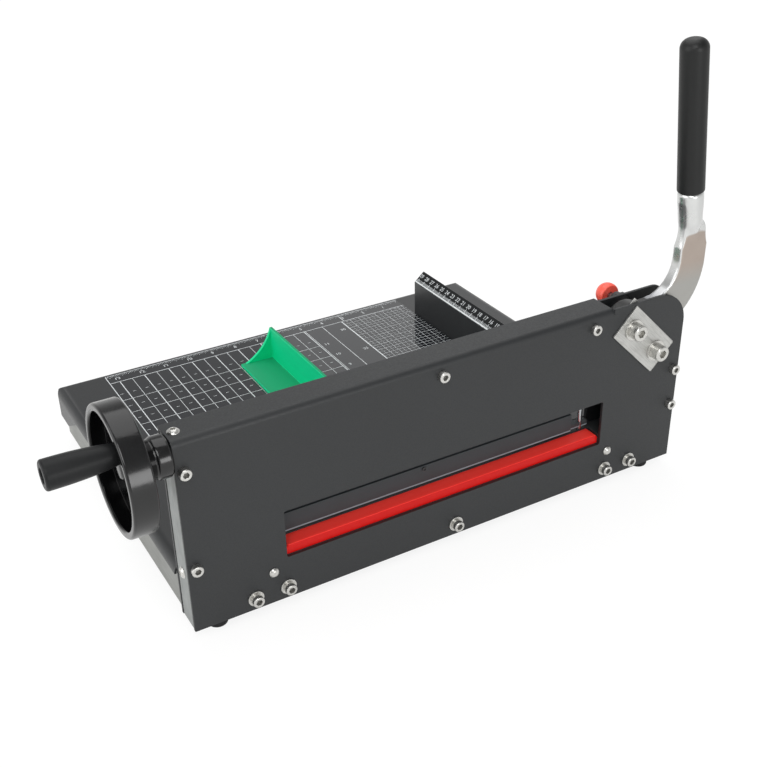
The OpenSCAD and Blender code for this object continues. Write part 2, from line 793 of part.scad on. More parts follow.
// Moulded sleeve with a rounded top and a rolled lower lip
module lever_grip() {
    lip = 1.5;
    top_r = 8;
    r = grip_d / 2;
    color("#1E1F21") in_frame() translate([neck_x, lever_y + lever_t / 2, neck_z]) rotate([0, -grip_lean, 0])
        translate([0, 0, neck_h + 6]) difference() {
            rotate_extrude() union() {
                box2([0, 0], [r - lip, grip_l - top_r]);
                box2([0, lip], [r, grip_l - top_r]);
                box2([0, 1], [r - top_r, grip_l]);
                translate([r - lip, lip]) circle(lip);
                intersection() {
                    translate([r - top_r, grip_l - top_r]) circle(top_r);
                    box2([0, 1], [r, grip_l]);
                }
            }
            translate([0, 0, -1]) cylinder(d = shank_d, h = grip_l - 21);
        }
}

module crank_pin() {
    color("#8F9192") in_frame()
        rod_along_y(crank_pin_x, crank_pin_z, crank_pin_d, lever_y, knife_y + side_gap);
}

// Knife and swing link

module knife_carrier() {
    ear_r = 11;
    color("#5A5C5E") in_frame() difference() {
        slab_y(carrier_y, knife_y) union() {
            box2([blade_x0, carrier_z0], [blade_x1, carrier_top]);
            box2([min(blade_x1, crank_pin_x) - eps, carrier_z0 + 6.5], [crank_pin_x + ear_r, crank_pin_z]);
            translate([crank_pin_x, crank_pin_z]) circle(ear_r);
        }
        slab_y(knife_y - blade_t, knife_y + 1)
            box2([blade_x0 - 1, carrier_z0 - 1], [max(blade_x1, crank_pin_x + ear_r) + 1, blade_top]);
        rod_along_y(crank_pin_x, crank_pin_z, crank_pin_d + 2 * run_gap, carrier_y - 1, knife_y + 1);
        rod_along_y(link_pin_x, link_pin_z, link_pin_d, carrier_y - 1, knife_y + 1);
        for (i = [0:3])
            rod_along_y(knife_screw_x(i), knife_screw_z, knife_screw_d, carrier_y - 1, knife_y + 1);
    }
}

knife_screw_z = blade_top - 9;
knife_screw_d = 4;
sink_d = 8;
sink_h = 2;
function knife_screw_x(i) = blade_x0 + 33 + i * (blade_x1 - blade_x0 - 66) / 3;

module knife_blade() {
    color("#BFC2C4") in_frame() difference() {
        slab_x(blade_x0, blade_x1) polygon([
            [knife_y, edge_z], [knife_y, blade_top], [knife_y - blade_t, blade_top],
            [knife_y - blade_t, edge_z + bevel_h]
        ]);
        for (i = [0:3])
            translate([knife_screw_x(i), knife_y + eps, knife_screw_z]) rotate([90, 0, 0]) {
                cylinder(d1 = sink_d + 2 * run_gap, d2 = knife_screw_d + 2 * run_gap, h = sink_h);
                cylinder(d = knife_screw_d + 2 * run_gap, h = blade_t + 1);
            }
    }
}

module knife_screws() {
    color("#7C7E80") in_frame()
        for (i = [0:3])
            translate([knife_screw_x(i), knife_y, knife_screw_z]) rotate([90, 0, 0]) {
                cylinder(d1 = sink_d, d2 = knife_screw_d, h = sink_h);
                cylinder(d = knife_screw_d, h = carrier_t - side_gap);
            }
}

module link_pin() {
    color("#8F9192") in_frame() rod_along_y(link_pin_x, link_pin_z, link_pin_d, lever_y, knife_y);
}

module link_stud() {
    color("#8F9192") in_frame() rod_along_y(stud_x, stud_z, stud_d, y_in, lever_y + nose_t);
}

module swing_link() {
    color("#A0A2A2") in_frame() difference() {
        slab_y(lever_y, lever_y + nose_t - side_gap / 2) union() {
            translate([stud_x, stud_z]) circle(link_end_r);
            translate([link_pin_x, link_pin_z]) circle(link_end_r);
            translate([stud_x, stud_z]) rotate(crank_a) box2([0, -link_w / 2], [crank_r, link_w / 2]);
        }
        rod_along_y(stud_x, stud_z, stud_d + 2 * run_gap, y_in, carrier_y);
        rod_along_y(link_pin_x, link_pin_z, link_pin_d + 2 * loose_gap, y_in, carrier_y);
    }
}

// Clamp

module clamp_plate() {
    color("#3A3C3E") in_frame() difference() {
        union() {
            slab_y(clamp_y, clamp_back) union() {
                box2([clamp_tall_x[0], clamp_z], [clamp_tall_x[1], clamp_pin_z + clamp_pin_d / 2 + 2.5]);
                box2([clamp_low_x[0], clamp_z], [clamp_face_end, clamp_z + clamp_low_h]);
                box2([clamp_face_end - eps, clamp_z], [clamp_low_x[1], clamp_z + clamp_tab_h]);
            }
            slab_y(clamp_foot_y, clamp_y + eps)
                box2([clamp_low_x[0], clamp_z], [clamp_face_end, clamp_z + clamp_foot_h]);
        }
        for (x = rod_xs)
            translate([x, rod_y, clamp_z - 1]) cylinder(d = rod_d + 2 * run_gap, h = clamp_low_h + 2);
        for (x = clamp_pin_xs)
            rod_along_y(x, clamp_pin_z, clamp_pin_d, clamp_y - 1, clamp_back + 1);
    }
}

module clamp_pins() {
    color("#8F9192") in_frame()
        for (x = clamp_pin_xs)
            rod_along_y(x, clamp_pin_z, clamp_pin_d, wedge_y, clamp_back);
}

module guide_rods() {
    color("#B8BABA") in_frame()
        for (x = rod_xs)
            translate([x, rod_y, table_z - 6]) cylinder(d = rod_d, h = gantry_h - plate_t - table_z + 6);
}

// Bar that the feed nut shifts along X; its slots, cut at 45 degrees, lift the clamp's pins
module wedge_bar() {
    slot_w = clamp_pin_d + 2 * loose_gap;
    reach = clamp_lift + clamp_drop;
    x0 = clamp_pin_xs[0] - clamp_lift - slot_margin - 4;
    x1 = clamp_pin_xs[1] + clamp_drop + slot_margin + 4;
    hole_x0 = clamp_pin_xs[0] + 33;
    hole_x1 = clamp_pin_xs[1] - 73;
    color("#7A7C7E") in_frame() slab_y(wedge_y, wedge_y + wedge_t) difference() {
        box2([x0, wedge_z0], [x1, wedge_top]);
        for (x = clamp_pin_xs)
            translate([x + clamp_drop, clamp_pin_z - clamp_drop]) rotate(135) {
                circle(d = slot_w);
                translate([reach * sqrt(2), 0]) circle(d = slot_w);
                box2([0, -slot_w / 2], [reach * sqrt(2), slot_w / 2]);
            }
        round_box2([hole_x0, wedge_z0 + 11], [hole_x1, wedge_top - 25], 5, all_round);
    }
}

module feed_nut() {
    nut_x = 65;
    half = 7;
    color("#B08D48") in_frame() difference() {
        slab_x(nut_x - 8, nut_x + 8) box2([y_in + side_gap, screw_z - half], [wedge_y, screw_z + half]);
        rod_along_x(screw_y, screw_z, screw_d + 2 * loose_gap, nut_x - 9, nut_x + 9);
        slab_y(y_in, fold_r + side_gap)
            box2([nut_x - 9, gantry_h - fold_r - side_gap], [nut_x + 9, gantry_h]);
    }
}

// Hand wheel

module drive_screw() {
    color("#9EA0A0") in_frame() rod_along_x(screw_y, screw_z, screw_d, cap_x, screw_end);
}

// Revolved about the drive screw: rim, dished web and long hub
module hand_wheel() {
    rim_r = wheel_d / 2;
    bead = 2;
    color("#232426") in_frame() difference() {
        translate([0, screw_y, screw_z]) rotate([0, 90, 0]) rotate_extrude($fn = 96) union() {
            round_box2([rim_r - rim_t, rim_x0], [rim_r, rim_x1], bead, all_round);
            polygon([
                [screw_d / 2, cap_x], [9, cap_x], [11, web_x - web_t], [rim_r - rim_t + 1, web_x - web_t],
                [rim_r - rim_t + 1, web_x], [hub_d / 2 + 1, web_x], [hub_d / 2 - 1.5, web_x + 4.5],
                [hub_d / 2 - 1.5, -hub_gap - 13], [hub_d / 2, -hub_gap - 10], [hub_d / 2, -hub_gap - 2],
                [hub_d / 2 - 2, -hub_gap], [screw_d / 2, -hub_gap]
            ]);
        }
        rod_along_x(handle_y, handle_z, spindle_d, web_x - web_t - 1, web_x + 1);
    }
}

module wheel_cap() {
    color("#2A2B2D") in_frame() translate([cap_x, screw_y, screw_z]) rotate([0, -90, 0]) rotate_extrude()
        polygon([[0, 0], [8, 0], [8, 1.6], [6.3, 2.8], [0, 3.2]]);
}

module handle_spindle() {
    color("#8F9192") in_frame() {
        rod_along_x(handle_y, handle_z, spindle_d, handle_x0 + 4, web_x);
        rod_along_x(handle_y, handle_z, spindle_d + 4, handle_x0 + 1.5, handle_x0 + 4 + eps);
    }
}

// Tapered barrel that turns on its spindle, narrow at the wheel, with a sunk end. Its side is drawn in
// slowly at first and then fast, as a power of the way along it.
handle_steps = 12;
handle_draw_in = 5.2;
function handle_radius(way) = handle_d / 2 - handle_draw_in * pow(way, 2.6);

module crank_handle() {
    r = handle_d / 2;
    color("#1E1F21") in_frame() translate([handle_x0, handle_y, handle_z]) rotate([0, 90, 0]) rotate_extrude()
        polygon([
            [spindle_d / 2 + 2 + loose_gap, 0], [r - 1.2, 0], [r, 1.2],
            for (i = [1:handle_steps]) [handle_radius(i / handle_steps), i / handle_steps * handle_l],
            [spindle_d / 2 + run_gap, handle_l], [spindle_d / 2 + run_gap, 4 + loose_gap],
            [spindle_d / 2 + 2 + loose_gap, 4 + loose_gap]
        ]);
}

// Lever lock

module lock_bush() {
    color("#B4B6B6") in_frame() difference() {
        union() {
            rod_along_y(lock_x, lock_z, bush_d, y_back, y_rear + bush_l);
            translate([lock_x, y_rear, lock_z]) rotate([-90, 0, 0]) cylinder(d = 16.5, h = 4.5, $fn = 6);
        }
        rod_along_y(lock_x, lock_z, lock_pin_d + 2 * run_gap, y_back - 1, y_rear + bush_l + 1);
    }
}

lock_tip = lever_y + lever_t + side_gap;
knob_y = y_rear + bush_l + lock_travel + loose_gap;

module lock_pin() {
    color("#A9ABAB") in_frame() rod_along_y(lock_x, lock_z, lock_pin_d, lock_tip, knob_y + 8);
}

module lock_knob() {
    r = lock_knob_d / 2;
    color("#F0483C") in_frame() translate([lock_x, knob_y, lock_z]) rotate([-90, 0, 0]) difference() {
        rotate_extrude() intersection() {
            translate([0, lock_knob_l - r]) circle(r);
            box2([0, 0], [r, lock_knob_l]);
        }
        translate([0, 0, -1]) cylinder(d = lock_pin_d, h = 9);
    }
}

// Fasteners on the front plate

module plate_screws() {
    color("#C6C8C6") in_frame()
        for (i = [0:5])
            translate([small_at[i][0], 0, small_at[i][1]])
                cap_screw(small_d, small_head_d, small_head_h, plate_t + (i == 2 ? 2 : 9), small_key);
}

module base_bolts() {
    color("#C6C8C6") in_frame()
        for (x = base_bolt_xs)
            translate([x, -base_washer_t, base_bolt_z])
                cap_screw(large_d, base_head_d, base_head_h, base_washer_t + tray_y0 + cross_d - 2, base_key);
}

module base_washers() {
    color("#D6D6D2") in_frame()
        for (x = base_bolt_xs)
            translate([x, 0, base_bolt_z]) washer(base_washer_d, large_d + 2 * loose_gap, base_washer_t);
}

module pan_screws() {
    color("#D6D6D2") in_frame()
        for (p = pan_at)
            translate([p[0], 0, p[1]]) rotate([-90, 0, 0]) union() {
                rotate_extrude() intersection() {
                    translate([0, 1.8]) circle(d = 10);
                    box2([0, -2.9], [4.35, 0]);
                }
                translate([0, 0, -1]) cylinder(d = pan_d, h = plate_t + 7);
            }
}

// Button head screw that points down -Z, the underside of its head at z = 0
module button_head() {
    difference() {
        rotate_extrude() intersection() {
            translate([0, -3.3]) circle(d = 12.2);
            box2([0, 0], [5.3, 3.3]);
        }
        translate([0, 0, 1.1]) cylinder(d = 3.9, h = 3, $fn = 6);
    }
}

module button_screws() {
    shank = 4;
    color("#D6D6D2") in_frame() {
        translate([end_block_w / 2, y_in + gantry_gap / 2, gantry_h]) union() {
            button_head();
            translate([0, 0, -plate_t - shank + 0.5]) cylinder(d = small_d, h = plate_t + shank);
        }
        translate([0.5, side_screw_y, side_screw_z]) rotate([0, -90, 0]) union() {
            button_head();
            translate([0, 0, -shank]) cylinder(d = small_d, h = shank + 0.5);
        }
    }
}

front_plate();
rear_plate();
left_end_block();
right_end_block();
bed_bar();
cutting_stick();
table_tray();
left_rail();
right_rail();
front_rail();
back_rail();
feet();
fence();
fence_screws();
pusher();
outer_silver_plate();
inner_silver_plate();
pivot_sleeve();
pivot_bolt();
brace_bolt();
pivot_washers();
pivot_nuts();
lever_arm();
lever_grip();
crank_pin();
knife_carrier();
knife_blade();
knife_screws();
link_pin();
link_stud();
swing_link();
clamp_plate();
clamp_pins();
guide_rods();
wedge_bar();
feed_nut();
screw_block();
spacer_post();
drive_screw();
hand_wheel();
wheel_cap();
handle_spindle();
crank_handle();
lock_bush();
lock_pin();
lock_knob();
plate_screws();
base_bolts();
base_washers();
pan_screws();
button_screws();
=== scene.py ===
# Stack paper cutter for the desk: a low black table with a printed grid, a gantry of two steel plates with
# a lever-driven knife above a red stick, and a clamp that a hand wheel winds down on the paper.
import json
import math

import bpy
from mathutils import Matrix, Vector

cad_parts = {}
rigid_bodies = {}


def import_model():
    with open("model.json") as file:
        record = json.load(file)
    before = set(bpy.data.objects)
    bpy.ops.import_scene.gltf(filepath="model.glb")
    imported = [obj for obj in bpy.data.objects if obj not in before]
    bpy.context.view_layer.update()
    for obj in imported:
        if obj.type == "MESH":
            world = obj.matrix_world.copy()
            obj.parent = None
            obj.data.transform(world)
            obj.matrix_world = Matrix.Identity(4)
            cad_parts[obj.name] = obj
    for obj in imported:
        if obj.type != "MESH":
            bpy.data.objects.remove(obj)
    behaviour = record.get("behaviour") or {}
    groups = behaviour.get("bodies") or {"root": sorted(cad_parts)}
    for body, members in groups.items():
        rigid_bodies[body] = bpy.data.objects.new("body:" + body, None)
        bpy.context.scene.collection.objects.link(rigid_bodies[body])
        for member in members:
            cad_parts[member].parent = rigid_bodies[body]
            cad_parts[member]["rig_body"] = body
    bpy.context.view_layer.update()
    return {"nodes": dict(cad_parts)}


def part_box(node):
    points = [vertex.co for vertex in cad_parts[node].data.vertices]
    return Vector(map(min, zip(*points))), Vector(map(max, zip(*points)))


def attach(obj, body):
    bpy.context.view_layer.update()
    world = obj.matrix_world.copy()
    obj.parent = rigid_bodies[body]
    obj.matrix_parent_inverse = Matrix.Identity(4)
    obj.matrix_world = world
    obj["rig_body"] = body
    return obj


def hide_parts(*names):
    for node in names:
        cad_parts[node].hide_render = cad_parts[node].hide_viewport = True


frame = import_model()
nodes = frame["nodes"]
bpy.ops.object.select_all(action="DESELECT")

# Camera: a normal lens off the cutter's left front corner, at the height of someone who stands at the desk.
# Its place and direction were solved from the straight edges of the gantry and the table.
lens_mm, sensor_mm = 52.987, 36
eye = Vector((-0.4032, -0.8076, 0.6061))
look = Vector((0.42881, 0.75552, -0.49530)).normalized()
across = Vector((0.86477, -0.50188, -0.01687)).normalized()
bpy.ops.object.camera_add()
camera = bpy.context.object
camera.data.sensor_width = sensor_mm
camera.data.lens = lens_mm
camera.data.clip_end = 50
facing = Matrix((across, across.cross(look), -look)).transposed().to_4x4()
camera.matrix_world = Matrix.Translation(eye) @ facing
bpy.context.scene.camera = camera
bpy.context.scene.view_settings.view_transform = "Standard"


# Floor and light: a white sheet under the cutter that runs into a white room, and soft panels overhead, high
# in front, at the left, and low in front to reach into the window; a weak one behind gives the table its
# sheen. Mirrors see sheet and room a little dimmer than the lens does, and the sheet keeps the soft shadow.
def colour(code):
    """An sRGB hex colour as linear red, green, blue and alpha."""
    parts = [int(code[i:i + 2], 16) / 255 for i in (1, 3, 5)]
    return [*(c / 12.92 if c <= 0.04045 else ((c + 0.055) / 1.055) ** 2.4 for c in parts), 1.0]


def add(tree, kind, sockets, **settings):
    """Adds a node with its settings; each socket takes a value or another node's output."""
    node = tree.nodes.new("ShaderNode" + kind)
    for name, value in settings.items():
        setattr(node, name, value)
    for name, value in sockets.items():
        if isinstance(value, bpy.types.NodeSocket):
            tree.links.new(value, node.inputs[name])
        else:
            node.inputs[name].default_value = value
    return node


def seen_by(tree):
    """Two outputs that are 1 where the lens looks, and where a mirror or a glass does."""
    ray = add(tree, "LightPath", {})
    gloss, glass = ray.outputs["Is Glossy Ray"], ray.outputs["Is Transmission Ray"]
    mirror = add(tree, "Math", {0: gloss, 1: glass}, operation="MAXIMUM")
    return ray.outputs["Is Camera Ray"], mirror.outputs[0]


white = colour("#FFFFFF")
floor_side = 12
bpy.ops.mesh.primitive_plane_add(size=floor_side)
floor = bpy.context.object
floor.name = "paper_floor"
paper = bpy.data.materials.new("white_paper")
paper.use_nodes = True
tree = paper.node_tree
tree.nodes.clear()
near_glow, far_glow, mirror_glow = 0.82, 1.0, 0.35
near_end, far_start = 1.2, 2.8
lens, mirror = seen_by(tree)
spot = add(tree, "TexCoord", {})
away = add(tree, "VectorMath", {0: spot.outputs["Object"]}, operation="LENGTH")
fade = add(tree, "MapRange", {"Value": away.outputs["Value"], "From Min": near_end, "From Max": far_start,
                              "To Min": near_glow, "To Max": far_glow})
to_lens = add(tree, "Math", {0: lens, 1: fade.outputs[0]}, operation="MULTIPLY")
to_mirror = add(tree, "Math", {0: mirror, 1: mirror_glow}, operation="MULTIPLY")
share = add(tree, "Math", {0: to_lens.outputs[0], 1: to_mirror.outputs[0]}, operation="MAXIMUM")
matt = add(tree, "BsdfDiffuse", {"Color": colour("#EFEFEE")})
glow = add(tree, "Emission", {"Color": white, "Strength": 1.06})
sheet = add(tree, "MixShader", {0: share.outputs[0], 1: matt.outputs[0], 2: glow.outputs[0]})
add(tree, "OutputMaterial", {"Surface": sheet.outputs[0]})
floor.data.materials.append(paper)

sky = bpy.data.worlds.new("white_room")
sky.use_nodes = True
bpy.context.scene.world = sky
tree = sky.node_tree
tree.nodes.clear()
fill_level, wall_level, ceiling_level, ceiling_from = 0.5, 0.85, 0.3, 0.7
lens, mirror = seen_by(tree)
way = add(tree, "TexCoord", {})
height = add(tree, "SeparateXYZ", {"Vector": way.outputs["Generated"]})
wall = add(tree, "MapRange", {"Value": height.outputs["Z"], "From Max": ceiling_from,
                              "To Min": wall_level, "To Max": ceiling_level})
for_mirror = add(tree, "Mix", {0: mirror, 2: fill_level, 3: wall.outputs[0]})
level = add(tree, "Mix", {0: lens, 2: for_mirror.outputs[0], 3: 1.0})
room = add(tree, "Background", {"Color": white, "Strength": level.outputs[0]})
add(tree, "OutputWorld", {"Surface": room.outputs[0]})

for name, place, aim, side, watts in (
        ("overhead_panel", (0.2, 0.5, 1.9), (0.0, 0.0, 0.1), 1.8, 15.0),
        ("high_front_panel", (-0.7, -1.2, 1.7), (0.0, -0.1, 0.1), 1.0, 12.5),
        ("left_panel", (-1.8, 0.1, 0.9), (0.0, 0.0, 0.1), 1.7, 13.0),
        ("low_front_panel", (0.2, -2.0, 0.5), (0.0, -0.1, 0.08), 0.7, 7.0),
        ("rear_right_panel", (1.45, 1.75, 1.2), (0.1, 0.0, 0.06), 1.4, 2.6)):
    bpy.ops.object.light_add(type="AREA", location=place)
    lamp = bpy.context.object
    lamp.name = name
    lamp.data.size = side
    lamp.data.energy = watts
    lamp.rotation_euler = (Vector(aim) - Vector(place)).to_track_quat("-Z", "Y").to_euler()

# Feet: four moulded rubber pads with a blunt lower edge, screwed under the gantry and the rails.
# Nitrile rubber is matt and near black, with grey dust caught in its grain.
mm = 0.001
merge_gap = 0.03 * mm
flat_turn, sharp_turn, smooth_turn = math.radians(0.4), math.radians(32), math.radians(34)


def finish_of(name, **sockets):
    """A new material with its principled shader set, and the point on the piece in metres."""
    material = bpy.data.materials.new(name)
    material.use_nodes = True
    shader = material.node_tree.nodes["Principled BSDF"]
    for socket, value in sockets.items():
        shader.inputs[socket.replace("_", " ")].default_value = value
    place = add(material.node_tree, "TexCoord", {}).outputs["Object"]
    return material, material.node_tree, shader, place


def merged_copy(name):
    """A copy of a CAD node as one closed mesh, selected and active, which takes the node's place."""
    piece = bpy.data.objects.new(name + "_dressed", nodes[name].data.copy())
    bpy.context.scene.collection.objects.link(piece)
    bpy.ops.object.select_all(action="DESELECT")
    piece.select_set(True)
    bpy.context.view_layer.objects.active = piece
    bpy.ops.mesh.customdata_custom_splitnormals_clear()
    bpy.ops.object.mode_set(mode="EDIT")
    bpy.ops.mesh.select_all(action="SELECT")
    bpy.ops.mesh.remove_doubles(threshold=merge_gap)
    bpy.ops.mesh.dissolve_limited(angle_limit=flat_turn)
    bpy.ops.object.mode_set(mode="OBJECT")
    piece.data.materials.clear()
    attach(piece, nodes[name]["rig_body"])
    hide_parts(name)
    return piece


def eased(name, width, finish, rounds=2, piece=None):
    """A copy of a CAD node, or the piece made from it, with its sharp edges broken by width."""
    piece = piece or merged_copy(name)
    edge = piece.modifiers.new("broken_edge", "BEVEL")
    edge.width = width
    edge.segments = rounds
    edge.limit_method = "ANGLE"
    edge.angle_limit = sharp_turn
    edge.use_clamp_overlap = False
    bpy.ops.object.modifier_apply(modifier="broken_edge")
    bpy.ops.object.shade_smooth_by_angle(angle=smooth_turn)
    flats = piece.modifiers.new("true_flats", "WEIGHTED_NORMAL")
    flats.keep_sharp = True
    flats.weight = 90
    bpy.ops.object.modifier_apply(modifier="true_flats")
    piece.data.materials.append(finish)
    return piece


rubber, tree, shader, place = finish_of("nitrile_rubber", Roughness=0.85, IOR=1.5)
dust = add(tree, "TexNoise", {"Vector": place, "Scale": 260.0, "Detail": 3.0})  # specks of 4 mm
tint = add(tree, "MixRGB", {0: dust.outputs["Fac"], 1: colour("#161718"), 2: colour("#242526")})
tree.links.new(tint.outputs[0], shader.inputs["Base Color"])
grain = add(tree, "Bump", {"Height": dust.outputs["Fac"], "Strength": 0.25, "Distance": 0.3 * mm})
tree.links.new(grain.outputs[0], shader.inputs["Normal"])
eased("feet", 0.6 * mm, rubber)

# Rails and end blocks: sawn bars of extruded aluminium that carry the table and close the gantry's ends.
# Satin mill finish: pale grey with draw lines along the bar and a few duller patches. The lines are drawn
# over 1 mm apart, coarser than real ones, so that they show.
mill_metal, tree, shader, place = finish_of("mill_aluminium", Metallic=1.0)
drawn = add(tree, "Mapping", {"Vector": place, "Scale": (900.0, 40.0, 900.0)})  # 1.1 mm apart
lines = add(tree, "TexNoise", {"Vector": drawn.outputs[0], "Scale": 1.0, "Detail": 4.0, "Roughness": 0.65})
patch = add(tree, "TexNoise", {"Vector": place, "Scale": 35.0, "Detail": 2.0})  # 29 mm
tint = add(tree, "MixRGB", {0: patch.outputs["Fac"], 1: colour("#8E8F8C"), 2: colour("#A9AAA7")})
tree.links.new(tint.outputs[0], shader.inputs["Base Color"])
dull = add(tree, "MapRange", {"Value": lines.outputs["Fac"], "From Min": 0.3, "From Max": 0.7,
                              "To Min": 0.38, "To Max": 0.62})
tree.links.new(dull.outputs[0], shader.inputs["Roughness"])
groove = add(tree, "Bump", {"Height": lines.outputs["Fac"], "Strength": 0.18, "Distance": 0.2 * mm})
tree.links.new(groove.outputs[0], shader.inputs["Normal"])
for name in ("left_rail", "right_rail", "front_rail", "back_rail"):
    eased(name, 0.6 * mm, mill_metal)

# The end blocks stand upright, so their draw lines run up and down.
block_metal, tree, shader, place = finish_of("upright_mill_aluminium", Metallic=1.0)
drawn = add(tree, "Mapping", {"Vector": place, "Scale": (700.0, 700.0, 45.0)})  # 1.4 mm apart
lines = add(tree, "TexNoise", {"Vector": drawn.outputs[0], "Scale": 1.0, "Detail": 4.0, "Roughness": 0.65})
patch = add(tree, "TexNoise", {"Vector": place, "Scale": 60.0, "Detail": 3.0})  # 17 mm
tint = add(tree, "MixRGB", {0: patch.outputs["Fac"], 1: colour("#8B8E8D"), 2: colour("#B0B3B2")})
tree.links.new(tint.outputs[0], shader.inputs["Base Color"])
dull = add(tree, "MapRange", {"Value": lines.outputs["Fac"], "From Min": 0.3, "From Max": 0.7,
                              "To Min": 0.42, "To Max": 0.66})
tree.links.new(dull.outputs[0], shader.inputs["Roughness"])
groove = add(tree, "Bump", {"Height": lines.outputs["Fac"], "Strength": 0.2, "Distance": 0.2 * mm})
tree.links.new(groove.outputs[0], shader.inputs["Normal"])
eased("left_end_block", 0.6 * mm, block_metal)
eased("right_end_block", 0.6 * mm, block_metal)

# Gantry plates: two steel sheets, the front one folded over at the top, with a black polyester powder coat.
# The cured powder leaves a fine pebble of about 0.5 mm, drawn at 1.2 mm so that it shows, and a soft sheen.
powder_coat, tree, shader, place = finish_of("black_powder_coat", IOR=1.5, Specular_IOR_Level=0.6)
pebble = add(tree, "TexNoise", {"Vector": place, "Scale": 850.0, "Detail": 2.0, "Roughness": 0.5})
cloud = add(tree, "TexNoise", {"Vector": place, "Scale": 9.0, "Detail": 3.0})  # 110 mm
tint = add(tree, "MixRGB", {0: cloud.outputs["Fac"], 1: colour("#181A1C"), 2: colour("#1E2123")})
tree.links.new(tint.outputs[0], shader.inputs["Base Color"])
dull = add(tree, "MapRange", {"Value": pebble.outputs["Fac"], "From Min": 0.3, "From Max": 0.7,
                              "To Min": 0.42, "To Max": 0.56})
tree.links.new(dull.outputs[0], shader.inputs["Roughness"])
skin = add(tree, "Bump", {"Height": pebble.outputs["Fac"], "Strength": 0.22, "Distance": 0.2 * mm})
tree.links.new(skin.outputs[0], shader.inputs["Normal"])
eased("front_plate", 0.5 * mm, powder_coat)
eased("rear_plate", 0.5 * mm, powder_coat)

# Table tray and fence: thinner folded sheet with a coat of the same black powder, tray and fence screwed
# together. Here the powder has flowed out smoother than on the gantry, so the table takes more sheen from
# the light behind it; the pebble is drawn at the same 1.2 mm.
smooth_coat, tree, shader, place = finish_of("smooth_black_powder_coat", IOR=1.5, Specular_IOR_Level=0.68)
pebble = add(tree, "TexNoise", {"Vector": place, "Scale": 850.0, "Detail": 2.0, "Roughness": 0.5})
cloud = add(tree, "TexNoise", {"Vector": place, "Scale": 12.0, "Detail": 3.0})  # 80 mm
tint = add(tree, "MixRGB", {0: cloud.outputs["Fac"], 1: colour("#191B1D"), 2: colour("#202224")})
tree.links.new(tint.outputs[0], shader.inputs["Base Color"])
dull = add(tree, "MapRange", {"Value": pebble.outputs["Fac"], "From Min": 0.3, "From Max": 0.7,
                              "To Min": 0.3, "To Max": 0.42})
tree.links.new(dull.outputs[0], shader.inputs["Roughness"])
skin = add(tree, "Bump", {"Height": pebble.outputs["Fac"], "Strength": 0.2, "Distance": 0.2 * mm})
tree.links.new(skin.outputs[0], shader.inputs["Normal"])
eased("table_tray", 0.4 * mm, smooth_coat)
eased("fence", 0.5 * mm, smooth_coat)

# Bed bar and screw block: machined steel blocks between the plates, chemically blackened.
# The black is thin and semi-matt, so the milling lines show through as slightly lighter bands.
blackened, tree, shader, place = finish_of("blackened_steel", IOR=1.5)
milled = add(tree, "Mapping", {"Vector": place, "Scale": (60.0, 700.0, 700.0)})  # 1.4 mm apart
bands = add(tree, "TexNoise", {"Vector": milled.outputs[0], "Scale": 1.0, "Detail": 3.0})
tint = add(tree, "MixRGB", {0: bands.outputs["Fac"], 1: colour("#232425"), 2: colour("#3A3C3D")})
tree.links.new(tint.outputs[0], shader.inputs["Base Color"])
dull = add(tree, "MapRange", {"Value": bands.outputs["Fac"], "To Min": 0.32, "To Max": 0.55})
tree.links.new(dull.outputs[0], shader.inputs["Roughness"])
eased("bed_bar", 0.5 * mm, blackened)
eased("screw_block", 0.5 * mm, blackened)

# Cutting stick: a square bar of red PVC that drops into the bed, for the knife's edge to land on.
# Extruded, so smooth and rather glossy, with faint die lines along it, drawn 1.1 mm apart so that they
# show; its top is painted paler than its sides, as painted light on the top face that lies in shade under the
# gantry.
stick_top = 0.7
stick_tints = []
for name, dark, light in (("red_pvc", "#CE0D08", "#D4130D"), ("pale_red_pvc", "#FF3A32", "#FF4239")):
    pvc, tree, shader, place = finish_of(name, IOR=1.52, Specular_IOR_Level=0.22)
    along = add(tree, "Mapping", {"Vector": place, "Scale": (12.0, 900.0, 900.0)})
    die = add(tree, "TexNoise", {"Vector": along.outputs[0], "Scale": 1.0, "Detail": 2.0})
    tint = add(tree, "MixRGB", {0: die.outputs["Fac"], 1: colour(dark), 2: colour(light)})
    tree.links.new(tint.outputs[0], shader.inputs["Base Color"])
    dull = add(tree, "MapRange", {"Value": die.outputs["Fac"], "To Min": 0.3, "To Max": 0.38})
    tree.links.new(dull.outputs[0], shader.inputs["Roughness"])
    stick_tints.append(pvc)
stick = eased("cutting_stick", 0.8 * mm, stick_tints[0], 3)
stick.data.materials.append(stick_tints[1])
# Upward faces take the paler copy: painted light on the stick's top.
for face in stick.data.polygons:
    face.material_index = int(face.normal.z > stick_top)

# Table print: white screen-printed lines on the coat. Inch lines count from the fence and from the cut, with
# a dash in each half square; the field at the fence is ruled in centimetres; a ruler runs along the back.
# The ink is an even white, a little greyer where it has worn.
ink, tree, shader, place = finish_of("white_screen_ink", Roughness=0.5, IOR=1.5)
wear = add(tree, "TexNoise", {"Vector": place, "Scale": 420.0, "Detail": 2.0})  # 2.4 mm
tint = add(tree, "MixRGB", {0: wear.outputs["Fac"], 1: colour("#BFC4C7"), 2: colour("#EEF1F2")})
tree.links.new(tint.outputs[0], shader.inputs["Base Color"])

cm = 10 * mm
inch = 25.4 * mm
home = Vector((-205.0, -156.25, 10.0)) * mm  # the zero point of the part's source
ink_layer = 0.05 * mm
print_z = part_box("table_tray")[1].z + 0.07 * mm
size_of_height = 1.4  # a font's size by the height of its figures


